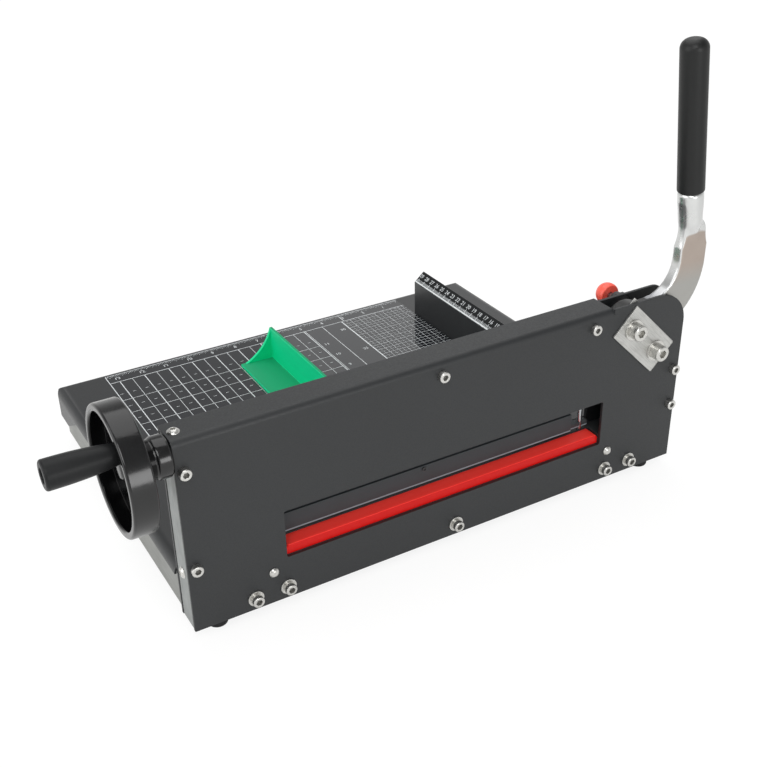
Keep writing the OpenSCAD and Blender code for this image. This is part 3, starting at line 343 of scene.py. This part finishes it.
def strokes(x, y, wide, deep, *rows):
    """Thin printed bars of wide by deep at x, y on the flat, repeated by rows of (count, step x, step y)."""
    bpy.ops.object.select_all(action="DESELECT")
    bpy.ops.mesh.primitive_plane_add(size=1, location=(x, y, 0))
    bar = bpy.context.object
    bar.scale = (wide, deep, 1)
    bpy.ops.object.transform_apply(location=True, rotation=True, scale=True)
    for count, step_x, step_y in rows:
        row = bar.modifiers.new("row", "ARRAY")
        row.count = count
        row.use_relative_offset = False
        row.use_constant_offset = True
        row.constant_offset_displace = (step_x, step_y, 0)
        bpy.ops.object.modifier_apply(modifier="row")
    return bar


def numeral(number, x, y, height, turn=0.0):
    """A printed number as a flat mesh, centred on x, y."""
    bpy.ops.object.select_all(action="DESELECT")
    bpy.ops.object.text_add(location=(x, y, 0), rotation=(0, 0, turn))
    text = bpy.context.object
    text.data.body = str(number)
    text.data.size = height * size_of_height
    text.data.align_x = "CENTER"
    text.data.align_y = "CENTER"
    text.data.resolution_u = 2
    bpy.ops.object.convert(target="MESH")
    bpy.ops.object.transform_apply(location=True, rotation=True, scale=True)
    return text


def printed(name, marks, finish, stand):
    """Joins flat marks to one print, gives it the thickness of ink and sets it on the surface at stand."""
    bpy.ops.object.select_all(action="DESELECT")
    for mark in marks:
        mark.select_set(True)
    bpy.context.view_layer.objects.active = marks[0]
    bpy.ops.object.join()
    piece = bpy.context.object
    piece.name = name
    layer = piece.modifiers.new("ink_layer", "SOLIDIFY")
    layer.thickness = ink_layer
    layer.offset = 1.0
    bpy.ops.object.modifier_apply(modifier="ink_layer")
    piece.matrix_world = stand
    bpy.ops.object.transform_apply(location=True, rotation=True, scale=True)
    piece.data.materials.clear()
    piece.data.materials.append(finish)
    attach(piece, "frame")


zero_x, zero_y = 386.3 * mm, 8.6 * mm
left, right = 46.1 * mm, 383.0 * mm
front, back = 29.5 * mm, 341.5 * mm
ruler_y, ruler_text_y = 326.0 * mm, 333.2 * mm
band_left, band_mid, band_right = zero_x - 5 * inch, 281.3 * mm, 305.0 * mm
first_inch = zero_x - 13 * inch
tick = inch / 16
field_x, field_wide = (left + right) / 2, right - left
field_y, field_deep = (front + back) / 2, back - front
grid_y, grid_deep = (front + ruler_y) / 2, ruler_y - front
inch_x, inch_wide = (left + band_left) / 2, band_left - left
cm_x, cm_wide = (band_right + right) / 2, right - band_right
marks = [strokes(*bar) for bar in (
    # Lines round the field and under the ruler.
    (left, field_y, 0.8 * mm, field_deep),
    (field_x, back, field_wide, 0.7 * mm),
    (field_x, ruler_y, field_wide, 0.7 * mm),
    # Inch squares, halved by finer lines, with their dashes.
    (first_inch, grid_y, 0.85 * mm, grid_deep, (9, inch, 0)),
    (first_inch + inch / 2, grid_y, 0.45 * mm, grid_deep, (8, inch, 0)),
    (inch_x, zero_y + inch, inch_wide, 0.5 * mm, (11, 0, inch)),
    (first_inch - inch / 4, zero_y + 1.5 * inch, 3.2 * mm, 0.42 * mm, (17, inch / 2, 0), (11, 0, inch)),
    # Band for the numbers.
    (band_left + 1.6 * mm, grid_y, 0.5 * mm, grid_deep),
    (band_mid, grid_y, 0.6 * mm, grid_deep),
    (band_right, grid_y, 1.3 * mm, grid_deep),
    # Centimetre squares, halved by finer lines, with a bold line at every fifth.
    (band_right + cm, grid_y, 0.34 * mm, grid_deep, (7, cm, 0)),
    (band_right + cm / 2, grid_y, 0.17 * mm, grid_deep, (8, cm, 0)),
    (cm_x, zero_y + 3 * cm, cm_wide, 0.34 * mm, (29, 0, cm)),
    (cm_x, zero_y + 2.5 * cm, cm_wide, 0.17 * mm, (30, 0, cm)),
    (cm_x, zero_y + 5 * cm, cm_wide, 0.8 * mm, (6, 0, 5 * cm)),
    # Ruler with sixteenths, quarters and inches.
    (band_right + 3.2 * mm, (ruler_y + back) / 2, 0.8 * mm, back - ruler_y),
    (first_inch - 6 * tick, back - 1.6 * mm, 0.3 * mm, 3.2 * mm, (210, tick, 0)),
    (first_inch - 4 * tick, back - 2.4 * mm, 0.34 * mm, 4.8 * mm, (53, 4 * tick, 0)),
    (first_inch, back - 3.4 * mm, 0.45 * mm, 6.8 * mm, (13, inch, 0)))]
for count in range(1, 14):
    marks.append(numeral(count, zero_x - count * inch, ruler_text_y, 4.6 * mm))
for count in range(2, 12):
    marks.append(numeral(count, band_left + 8.2 * mm, zero_y + count * inch, 4.2 * mm))
for count in range(5, 31, 5):
    marks.append(numeral(count, band_right - 7.3 * mm, zero_y + count * cm, 4.2 * mm))
printed("table_print", marks, ink, Matrix.Translation((home.x, home.y, print_z)))

# Print field: a sheet of glossy black ink under the lines, a little bluer than the coat round it.
# Screen-printed in one pass, so it is even, and smooth enough to mirror the fence's foot and the pusher.
black_ink, tree, shader, place = finish_of("black_screen_ink", IOR=1.5, Specular_IOR_Level=0.9)
wear = add(tree, "TexNoise", {"Vector": place, "Scale": 300.0, "Detail": 2.0})  # 3.3 mm
tint = add(tree, "MixRGB", {0: wear.outputs["Fac"], 1: colour("#0B0E13"), 2: colour("#13171D")})
tree.links.new(tint.outputs[0], shader.inputs["Base Color"])
dull = add(tree, "MapRange", {"Value": wear.outputs["Fac"], "To Min": 0.08, "To Max": 0.15})
tree.links.new(dull.outputs[0], shader.inputs["Roughness"])
sheet = strokes(field_x, field_y, field_wide, field_deep)
printed("print_field", [sheet], black_ink, Matrix.Translation((home.x, home.y, print_z - ink_layer)))

# Fence ruler: white ink on a matt black strip along the slanted band, with a bright line at its lower edge,
# millimetre ticks and centimetre numbers that are read from the stack's side. The strip's ink is dull and
# deeper than the coat, so the figures stand out.
slope = math.radians(40)
band_low = Vector((383.5, 0.0, 86.0)) * mm + home
ink_rise = 0.08 * mm
fence_front, fence_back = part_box("fence")[0].y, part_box("fence")[1].y
fence_mid, fence_run = (fence_front + fence_back) / 2, fence_back - fence_front - 1.5 * mm
marks = [strokes(*bar) for bar in (
    (1.3 * mm, fence_mid, 1.5 * mm, fence_run),
    (3.6 * mm, home.y + 40 * mm, 2.6 * mm, 0.3 * mm, (262, 0, mm)),
    (4.3 * mm, home.y + 38.6 * mm, 4.0 * mm, 0.42 * mm, (27, 0, cm)))]
for count in range(3, 30):
    marks.append(numeral(count, 9.4 * mm, home.y + zero_y + count * cm, 4.4 * mm, math.radians(-90)))
on_band = Matrix.Translation((band_low.x, 0, band_low.z)) @ Matrix.Rotation(-slope, 4, "Y")
printed("fence_ruler", marks, ink, on_band @ Matrix.Translation((0, 0, ink_rise)))
deep_ink, tree, shader, place = finish_of("matt_black_ink", IOR=1.5, Specular_IOR_Level=0.25)
wear = add(tree, "TexNoise", {"Vector": place, "Scale": 300.0, "Detail": 2.0})  # 3.3 mm
tint = add(tree, "MixRGB", {0: wear.outputs["Fac"], 1: colour("#0E1011"), 2: colour("#17191B")})
tree.links.new(tint.outputs[0], shader.inputs["Base Color"])
dull = add(tree, "MapRange", {"Value": wear.outputs["Fac"], "To Min": 0.5, "To Max": 0.65})
tree.links.new(dull.outputs[0], shader.inputs["Roughness"])
sheet = strokes(7.4 * mm, fence_mid, 14.0 * mm, fence_run)
printed("ruler_field", [sheet], deep_ink, on_band @ Matrix.Translation((0, 0, ink_rise - ink_layer)))

# Pusher: a loose injection-moulded L of green ABS with a web across its back end.
# Bright walls with faint flow streaks, 6 mm wide; the upper faces of its floor are painted darker, as painted
# shade beside the wall and web, and are duller.
pusher_floor = 0.95
pusher_tints = []
for name, dark, light, least, most in (("green_abs", "#02D08E", "#06DE9B", 0.34, 0.46),
                                       ("dull_green_abs", "#029464", "#039E6B", 0.54, 0.66)):
    abs_plastic, tree, shader, place = finish_of(name, IOR=1.53, Specular_IOR_Level=0.3)
    flow = add(tree, "Mapping", {"Vector": place, "Scale": (160.0, 20.0, 160.0)})
    streak = add(tree, "TexNoise", {"Vector": flow.outputs[0], "Scale": 1.0, "Detail": 2.0})
    tint = add(tree, "MixRGB", {0: streak.outputs["Fac"], 1: colour(dark), 2: colour(light)})
    tree.links.new(tint.outputs[0], shader.inputs["Base Color"])
    dull = add(tree, "MapRange", {"Value": streak.outputs["Fac"], "To Min": least, "To Max": most})
    tree.links.new(dull.outputs[0], shader.inputs["Roughness"])
    pusher_tints.append(abs_plastic)
pusher = eased("pusher", 0.5 * mm, pusher_tints[0], 3)
pusher.data.materials.append(pusher_tints[1])
# Upward floor faces take the darker copy: painted shade beside the wall and web.
for face in pusher.data.polygons:
    face.material_index = int(face.normal.z > pusher_floor)

# Knife, linkage and clamp drive inside the gantry: ground tool steel, and plain turned or flat steel parts.
# Ground steel is bright with fine lines, drawn 0.8 mm apart so that they show; the plain parts are greyer
# and lightly oiled, in patches of 8 mm.
ground, tree, shader, place = finish_of("ground_steel", Metallic=1.0)
hair = add(tree, "Mapping", {"Vector": place, "Scale": (1200.0, 1200.0, 50.0)})
lines = add(tree, "TexNoise", {"Vector": hair.outputs[0], "Scale": 1.0, "Detail": 3.0})
tint = add(tree, "MixRGB", {0: lines.outputs["Fac"], 1: colour("#AEB2B5"), 2: colour("#CFD2D4")})
tree.links.new(tint.outputs[0], shader.inputs["Base Color"])
dull = add(tree, "MapRange", {"Value": lines.outputs["Fac"], "To Min": 0.18, "To Max": 0.36})
tree.links.new(dull.outputs[0], shader.inputs["Roughness"])
for name in ("knife_blade", "guide_rods", "spacer_post"):
    eased(name, 0.3 * mm, ground)

oiled, tree, shader, place = finish_of("oiled_steel", Metallic=1.0)
film = add(tree, "TexNoise", {"Vector": place, "Scale": 130.0, "Detail": 4.0})
tint = add(tree, "MixRGB", {0: film.outputs["Fac"], 1: colour("#77797A"), 2: colour("#9C9E9F")})
tree.links.new(tint.outputs[0], shader.inputs["Base Color"])
dull = add(tree, "MapRange", {"Value": film.outputs["Fac"], "To Min": 0.26, "To Max": 0.5})
tree.links.new(dull.outputs[0], shader.inputs["Roughness"])
for name in ("pivot_sleeve", "crank_pin", "knife_screws", "link_pin", "link_stud", "swing_link", "clamp_pins",
             "wedge_bar", "drive_screw", "handle_spindle", "lock_pin"):
    eased(name, 0.4 * mm, oiled)

# Knife carrier, clamp plate and lock bush: two steel bars with a black oxide, and a turned bush blackened as
# the bed is. The oxide is dark and slightly oily, in patches of 17 mm. It has worn off along the clamp's
# lower lip, which is bare and bluish, and that pale bluish lip is also a painted highlight along the edge.
lip_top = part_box("clamp_plate")[0].z + 1.5 * mm
lip_metal = 0.4
oxide, tree, shader, place = finish_of("black_oxide", IOR=1.5, Specular_IOR_Level=0.3)
film = add(tree, "TexNoise", {"Vector": place, "Scale": 60.0, "Detail": 4.0})
tint = add(tree, "MixRGB", {0: film.outputs["Fac"], 1: colour("#393D3F"), 2: colour("#43474A")})
height = add(tree, "SeparateXYZ", {"Vector": place})
lip = add(tree, "Math", {0: height.outputs["Z"], 1: lip_top}, operation="LESS_THAN")
# Below lip_top: bare metal, painted pale and bluish, which is partly a painted highlight on the edge.
bare = add(tree, "MixRGB", {0: lip.outputs[0], 1: tint.outputs[0], 2: colour("#93A6AD")})
tree.links.new(bare.outputs[0], shader.inputs["Base Color"])
metal = add(tree, "Math", {0: lip.outputs[0], 1: lip_metal}, operation="MULTIPLY")
tree.links.new(metal.outputs[0], shader.inputs["Metallic"])
dull = add(tree, "MapRange", {"Value": film.outputs["Fac"], "To Min": 0.5, "To Max": 0.7})
tree.links.new(dull.outputs[0], shader.inputs["Roughness"])
eased("knife_carrier", 0.5 * mm, oxide)
eased("clamp_plate", 0.4 * mm, oxide)
eased("lock_bush", 0.4 * mm, blackened)

# Clamp screw: a short blackened socket screw in the clamp's foot, seen through the window.
# Turned with a broken rim and a sunk socket; as dark as the bed's blackened steel.
screw_d, screw_long = 4.4 * mm, 1.4 * mm
screw_at = Vector((12.5, -140.55, 75.7)) * mm
socket_rim, socket_deep = 0.24 * screw_d, 0.9 * mm


def pick(piece, kind, wanted):
    """Selects only the wanted faces or edges of a piece and leaves it in edit mode."""
    bpy.ops.object.mode_set(mode="EDIT")
    bpy.ops.mesh.select_mode(type=kind)
    bpy.ops.mesh.select_all(action="DESELECT")
    bpy.ops.object.mode_set(mode="OBJECT")
    for part in piece.data.polygons if kind == "FACE" else piece.data.edges:
        part.select = wanted(part)
    bpy.ops.object.mode_set(mode="EDIT")


bpy.ops.object.select_all(action="DESELECT")
bpy.ops.mesh.primitive_cylinder_add(vertices=36, radius=screw_d / 2, depth=screw_long, location=screw_at,
                                    rotation=(math.radians(90), 0, 0))
clamp_screw = bpy.context.object
clamp_screw.name = "clamp_screw"
bpy.ops.object.transform_apply(location=True, rotation=True, scale=True)
pick(clamp_screw, "FACE", lambda face: face.normal.y < -0.9)
bpy.ops.mesh.inset(thickness=socket_rim)
bpy.ops.mesh.extrude_region_move(TRANSFORM_OT_translate={"value": (0, socket_deep, 0)})
bpy.ops.object.mode_set(mode="OBJECT")
rim = clamp_screw.modifiers.new("broken_edge", "BEVEL")
rim.width = 0.15 * mm
rim.segments = 2
bpy.ops.object.modifier_apply(modifier="broken_edge")
bpy.ops.object.shade_smooth_by_angle(angle=smooth_turn)
clamp_screw.data.materials.append(blackened)
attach(clamp_screw, "clamp")

# Feed nut: a block of turned brass that the drive screw pulls along.
# Brass is warm yellow with a faint brown film, in patches of 3 mm, where the tool left its marks.
brass, tree, shader, place = finish_of("turned_brass", Metallic=1.0, Roughness=0.3)
film = add(tree, "TexNoise", {"Vector": place, "Scale": 300.0, "Detail": 3.0})
tint = add(tree, "MixRGB", {0: film.outputs["Fac"], 1: colour("#8E6D2F"), 2: colour("#C6A257")})
tree.links.new(tint.outputs[0], shader.inputs["Base Color"])
eased("feed_nut", 0.5 * mm, brass)

# Silver plates: cut pieces of aluminium flat that brace the lever's pivot, one outside and one inside.
# Satin with straight rolling lines at the plate's own slant, some of them scored darker; the lines are drawn
# 0.9 mm apart so that they show. The outer plate's right and lower corners are filed round.
flat_bar, tree, shader, place = finish_of("rolled_aluminium", Metallic=1.0)
slant = add(tree, "Mapping", {"Vector": place, "Rotation": (0.0, math.radians(-45), 0.0)})
rolled = add(tree, "Mapping", {"Vector": slant.outputs[0], "Scale": (60.0, 1.0, 1100.0)})
lines = add(tree, "TexNoise", {"Vector": rolled.outputs[0], "Scale": 1.0, "Detail": 4.0, "Roughness": 0.7})
patch = add(tree, "TexNoise", {"Vector": place, "Scale": 70.0, "Detail": 3.0})  # 14 mm
tint = add(tree, "MixRGB", {0: patch.outputs["Fac"], 1: colour("#BDBDBA"), 2: colour("#D6D6D3")})
score = add(tree, "MapRange", {"Value": lines.outputs["Fac"], "From Min": 0.32, "From Max": 0.55,
                               "To Min": 0.5, "To Max": 0.0})
scored = add(tree, "MixRGB", {0: score.outputs[0], 1: tint.outputs[0], 2: colour("#8A8A87")})
tree.links.new(scored.outputs[0], shader.inputs["Base Color"])
dull = add(tree, "MapRange", {"Value": lines.outputs["Fac"], "From Min": 0.3, "From Max": 0.7,
                              "To Min": 0.3, "To Max": 0.6})
tree.links.new(dull.outputs[0], shader.inputs["Roughness"])
scratch = add(tree, "Bump", {"Height": lines.outputs["Fac"], "Strength": 0.2, "Distance": 0.2 * mm})
tree.links.new(scratch.outputs[0], shader.inputs["Normal"])
corner_slack, corner_round = 0.3 * mm, 1.8 * mm
outer = merged_copy("outer_silver_plate")
spots = [v.co.copy() for v in outer.data.vertices]
right_end = max(p.x for p in spots) - corner_slack
low_end = min(p.z for p in spots) + corner_slack
pick(outer, "EDGE", lambda edge: all(spots[i].x > right_end or spots[i].z < low_end for i in edge.vertices))
bpy.ops.mesh.bevel(offset=corner_round, segments=4, affect="EDGES")
bpy.ops.object.mode_set(mode="OBJECT")
eased("outer_silver_plate", 0.5 * mm, flat_bar, piece=outer)
eased("inner_silver_plate", 0.3 * mm, flat_bar)

# Fasteners: cold-headed steel screws, washers and nuts with a bright zinc plate.
# Zinc is a warm light grey, shiny in small spots of 2 mm; the sockets of the plate screws and base bolts
# are painted a dull dark grey, as painted shade in their recesses.
zinc, tree, shader, place = finish_of("bright_zinc", Metallic=1.0)
spot = add(tree, "TexNoise", {"Vector": place, "Scale": 420.0, "Detail": 3.0})
tint = add(tree, "MixRGB", {0: spot.outputs["Fac"], 1: colour("#BDBCB8"), 2: colour("#E4E3DF")})
tree.links.new(tint.outputs[0], shader.inputs["Base Color"])
dull = add(tree, "MapRange", {"Value": spot.outputs["Fac"], "To Min": 0.16, "To Max": 0.4})
tree.links.new(dull.outputs[0], shader.inputs["Roughness"])
socket_shade, tree, shader, place = finish_of("painted_socket_shade", Metallic=0.6, Roughness=0.6)
shade_mottle = add(tree, "TexNoise", {"Vector": place, "Scale": 900.0, "Detail": 2.0})  # 1.1 mm
tint = add(tree, "MixRGB", {0: shade_mottle.outputs["Fac"], 1: colour("#74736F"), 2: colour("#989792")})
tree.links.new(tint.outputs[0], shader.inputs["Base Color"])
socket_top, socket_floor, socket_share = 0.3 * mm, 5.0 * mm, 0.34
for name in ("pivot_bolt", "brace_bolt", "pivot_washers", "pivot_nuts", "plate_screws", "base_bolts",
             "base_washers", "pan_screws", "button_screws", "fence_screws"):
    screws = eased(name, 0.3 * mm, zinc)
    if name not in ("plate_screws", "base_bolts"):
        continue
    screws.data.materials.append(socket_shade)
    bpy.ops.object.mode_set(mode="EDIT")
    bpy.ops.mesh.select_all(action="SELECT")
    bpy.ops.mesh.separate(type="LOOSE")
    bpy.ops.object.mode_set(mode="OBJECT")
    for screw in bpy.context.selected_objects:
        low = Vector([min(v.co[i] for v in screw.data.vertices) for i in range(3)])
        high = Vector([max(v.co[i] for v in screw.data.vertices) for i in range(3)])
        middle = (low + high) / 2
        # Faces sunk in the socket take the second material: painted shade in the recess.
        for face in screw.data.polygons:
            sunk = face.center.y - low.y
            reach = math.hypot(face.center.x - middle.x, face.center.z - middle.z)
            if socket_top < sunk < socket_floor and reach < socket_share * (high.x - low.x):
                face.material_index = 1
    bpy.ops.object.join()

# Lever: a forged steel bar, flat at the arm and drawn to a round neck, chromed and then ground on its flats.
# A copy of the solid is remeshed and relaxed, so that its corners round as a forging's do and the shoulder
# runs into the neck.
arm_x, arm_z = 243 * mm, 187 * mm
shoulder_low, shoulder_high, shoulder_ease = 220 * mm, 260 * mm, 10 * mm
lever = merged_copy("lever_arm")
forged = lever.modifiers.new("forged", "REMESH")
forged.mode = "VOXEL"
forged.voxel_size = 0.9 * mm
bpy.ops.object.modifier_apply(modifier="forged")
arm = lever.vertex_groups.new(name="arm")
arm.add([v.index for v in lever.data.vertices if v.co.x > arm_x or v.co.z > arm_z], 1.0, "REPLACE")
shoulder = lever.vertex_groups.new(name="shoulder")
for v in lever.data.vertices:
    inside = min(v.co.z - shoulder_low, shoulder_high - v.co.z)
    shoulder.add([v.index], min(1.0, max(0.0, inside / shoulder_ease)), "REPLACE")
for group, rounds, thickness in (("arm", 16, True), ("shoulder", 45, True), ("shoulder", 420, False)):
    relaxed = lever.modifiers.new("relaxed", "SMOOTH")
    relaxed.factor = 0.5
    relaxed.iterations = rounds
    relaxed.vertex_group = group
    relaxed.use_y = thickness
    relaxed.use_z = thickness
    bpy.ops.object.modifier_apply(modifier="relaxed")
bpy.ops.object.shade_smooth()

# The flats are satin and warm grey, plainer at the foot, and end in an arch below the neck; the edges and the
# neck are bright chrome, painted a darker grey towards the plates as painted shade; the boss round the pivot
# is painted near black, as painted shade inside the slot between the plates. The grit is drawn at 2 mm so
# that it shows.
pivot = Vector((214.5, 0.0, 159.5)) * mm
boss_reach, boss_blend = 31 * mm, 2 * mm
arch_x, arch_half, arch_rise = 282.5 * mm, 26.316 * mm, 14 * mm
arch_low, arch_high = 232.2 * mm, 234.5 * mm
flat_foot, edge_foot = (186 * mm, 206 * mm), (174 * mm, 188 * mm)
flat_x, flat_low, flat_high = 250 * mm, 195 * mm, 215 * mm
arm_y = [v.co.y for v in lever.data.vertices if v.co.x > flat_x and flat_low < v.co.z < flat_high]
flat_mid, flat_half = (min(arm_y) + max(arm_y)) / 2, (max(arm_y) - min(arm_y)) / 2
chrome, tree, shader, place = finish_of("forged_chrome", Metallic=1.0)
point = add(tree, "SeparateXYZ", {"Vector": place})
off_mid = add(tree, "Math", {0: point.outputs["Y"], 1: flat_mid}, operation="SUBTRACT")
depth = add(tree, "Math", {0: off_mid.outputs[0]}, operation="ABSOLUTE")
on_flat = add(tree, "MapRange", {"Value": depth.outputs[0], "From Min": flat_half - 0.4 * mm,
                                 "From Max": flat_half - 0.2 * mm})
off_arch = add(tree, "Math", {0: point.outputs["X"], 1: arch_x}, operation="SUBTRACT")
along = add(tree, "Math", {0: off_arch.outputs[0], 1: arch_half}, operation="DIVIDE")
square = add(tree, "Math", {0: along.outputs[0], 1: along.outputs[0]}, operation="MULTIPLY")
drop = add(tree, "Math", {0: square.outputs[0], 1: arch_rise}, operation="MULTIPLY")
crown = add(tree, "Math", {0: point.outputs["Z"], 1: drop.outputs[0]}, operation="ADD")
below_neck = add(tree, "MapRange", {"Value": crown.outputs[0], "From Min": arch_low, "From Max": arch_high,
                                    "To Min": 1.0, "To Max": 0.0})
satin = add(tree, "Math", {0: on_flat.outputs[0], 1: below_neck.outputs[0]}, operation="MULTIPLY")
grit = add(tree, "TexNoise", {"Vector": place, "Scale": 500.0, "Detail": 3.0})
cloud = add(tree, "TexNoise", {"Vector": place, "Scale": 45.0, "Detail": 2.0})  # 22 mm
warm = add(tree, "MixRGB", {0: cloud.outputs["Fac"], 1: colour("#AFA299"), 2: colour("#BBAFA5")})
up_flat = add(tree, "MapRange", {"Value": point.outputs["Z"], "From Min": flat_foot[0],
                                 "From Max": flat_foot[1]})
flat_tint = add(tree, "MixRGB", {0: up_flat.outputs[0], 1: colour("#AEADA9"), 2: warm.outputs[0]})
# Painted shade: the chrome edges and neck turn a darker grey towards the plates.
up_edge = add(tree, "MapRange", {"Value": point.outputs["Z"], "From Min": edge_foot[0],
                                 "From Max": edge_foot[1]})
edge_tint = add(tree, "MixRGB", {0: up_edge.outputs[0], 1: colour("#8F9097"), 2: colour("#DADBDA")})
tint = add(tree, "MixRGB", {0: satin.outputs[0], 1: edge_tint.outputs[0], 2: flat_tint.outputs[0]})
from_pivot = add(tree, "Mapping", {"Vector": place, "Location": (-pivot.x, 0.0, -pivot.z),
                                   "Scale": (1.0, 0.0, 1.0)})
reach = add(tree, "VectorMath", {0: from_pivot.outputs[0]}, operation="LENGTH")
# Painted shade: within boss_reach of the pivot the lever is near black and not metal, inside the slot.
bare = add(tree, "MapRange", {"Value": reach.outputs["Value"], "From Min": boss_reach - boss_blend,
                              "From Max": boss_reach})
painted_boss_shade = add(tree, "MixRGB", {0: bare.outputs[0], 1: colour("#0A0B0B"), 2: tint.outputs[0]})
tree.links.new(painted_boss_shade.outputs[0], shader.inputs["Base Color"])
tree.links.new(bare.outputs[0], shader.inputs["Metallic"])
sanded = add(tree, "MapRange", {"Value": grit.outputs["Fac"], "To Min": 0.34, "To Max": 0.46})
plated = add(tree, "MapRange", {"Value": cloud.outputs["Fac"], "To Min": 0.24, "To Max": 0.32})
dull = add(tree, "Mix", {0: satin.outputs[0], 2: plated.outputs[0], 3: sanded.outputs[0]})
tree.links.new(dull.outputs[0], shader.inputs["Roughness"])
lever.data.materials.append(chrome)

# Grip: a moulded rubber sleeve pushed over the lever's shank, with a rolled lower lip.
# Matt black with a moulded grain, drawn at 1.4 mm so that it shows; handling leaves smoother patches.
sleeve, tree, shader, place = finish_of("grip_rubber", IOR=1.5, Specular_IOR_Level=0.38)
grain = add(tree, "TexNoise", {"Vector": place, "Scale": 700.0, "Detail": 2.0})
hand = add(tree, "TexNoise", {"Vector": place, "Scale": 30.0, "Detail": 2.0})  # 33 mm
tint = add(tree, "MixRGB", {0: hand.outputs["Fac"], 1: colour("#0D0E0E"), 2: colour("#151616")})
tree.links.new(tint.outputs[0], shader.inputs["Base Color"])
dull = add(tree, "MapRange", {"Value": hand.outputs["Fac"], "To Min": 0.36, "To Max": 0.48})
tree.links.new(dull.outputs[0], shader.inputs["Roughness"])
pore = add(tree, "Bump", {"Height": grain.outputs["Fac"], "Strength": 0.3, "Distance": 0.2 * mm})
tree.links.new(pore.outputs[0], shader.inputs["Normal"])
eased("lever_grip", 0.5 * mm, sleeve)

# Hand wheel and its cap: moulded black phenolic with a deep cup and a thin round rim.
# Polished mould, so glossy and nearly black, with a slight orange peel of 8 mm that wavers the reflections;
# the inside of the cup has a much weaker sheen, as painted shade deep in the cup.
wheel_y, wheel_z = -146.75 * mm, 168.8 * mm
cup_r, cup_mouth = 44.0 * mm, -222.5 * mm
wheel_tints = []
for name, shine in (("black_phenolic", 0.45), ("unpolished_phenolic", 0.12)):
    phenolic, tree, shader, place = finish_of(name, IOR=1.6, Specular_IOR_Level=shine)
    peel = add(tree, "TexNoise", {"Vector": place, "Scale": 120.0, "Detail": 2.0})
    tint = add(tree, "MixRGB", {0: peel.outputs["Fac"], 1: colour("#060607"), 2: colour("#0C0D0E")})
    tree.links.new(tint.outputs[0], shader.inputs["Base Color"])
    dull = add(tree, "MapRange", {"Value": peel.outputs["Fac"], "To Min": 0.12, "To Max": 0.22})
    tree.links.new(dull.outputs[0], shader.inputs["Roughness"])
    wave = add(tree, "Bump", {"Height": peel.outputs["Fac"], "Strength": 0.12, "Distance": 0.4 * mm})
    tree.links.new(wave.outputs[0], shader.inputs["Normal"])
    wheel_tints.append(phenolic)
wheel = eased("hand_wheel", 0.6 * mm, wheel_tints[0], 3)
wheel.data.materials.append(wheel_tints[1])
# Faces inside the cup take the weak-sheen copy: painted shade deep in the cup.
for face in wheel.data.polygons:
    corners = [wheel.data.vertices[i].co for i in face.vertices]
    reach = max(math.hypot(p.y - wheel_y, p.z - wheel_z) for p in corners)
    face.material_index = int(reach < cup_r and face.center.x < cup_mouth)
eased("wheel_cap", 0.4 * mm, wheel_tints[0])

# Revolving handle: a turned barrel of satin black plastic on a steel spindle.
# Turning marks run round it, drawn 1.1 mm apart so that they show, and its sheen is softer than the wheel's.
barrel, tree, shader, place = finish_of("satin_black_plastic", IOR=1.5, Specular_IOR_Level=0.25)
turned = add(tree, "Mapping", {"Vector": place, "Scale": (900.0, 30.0, 30.0)})
rings = add(tree, "TexNoise", {"Vector": turned.outputs[0], "Scale": 1.0, "Detail": 2.0})
tint = add(tree, "MixRGB", {0: rings.outputs["Fac"], 1: colour("#131415"), 2: colour("#1D1E1F")})
tree.links.new(tint.outputs[0], shader.inputs["Base Color"])
dull = add(tree, "MapRange", {"Value": rings.outputs["Fac"], "To Min": 0.36, "To Max": 0.52})
tree.links.new(dull.outputs[0], shader.inputs["Roughness"])
eased("crank_handle", 0.8 * mm, barrel, 3)

# Lock knob: a ball knob of bright red plastic on the lock pin behind the gantry.
# Glossy moulding with a soft highlight and a nearly even colour, with faint swirls of 11 mm.
red_ball, tree, shader, place = finish_of("red_ball_plastic", IOR=1.5, Roughness=0.25)
swirl = add(tree, "TexNoise", {"Vector": place, "Scale": 90.0, "Detail": 2.0})
tint = add(tree, "MixRGB", {0: swirl.outputs["Fac"], 1: colour("#FA5646"), 2: colour("#FF6C5A")})
tree.links.new(tint.outputs[0], shader.inputs["Base Color"])
eased("lock_knob", 0.5 * mm, red_ball)
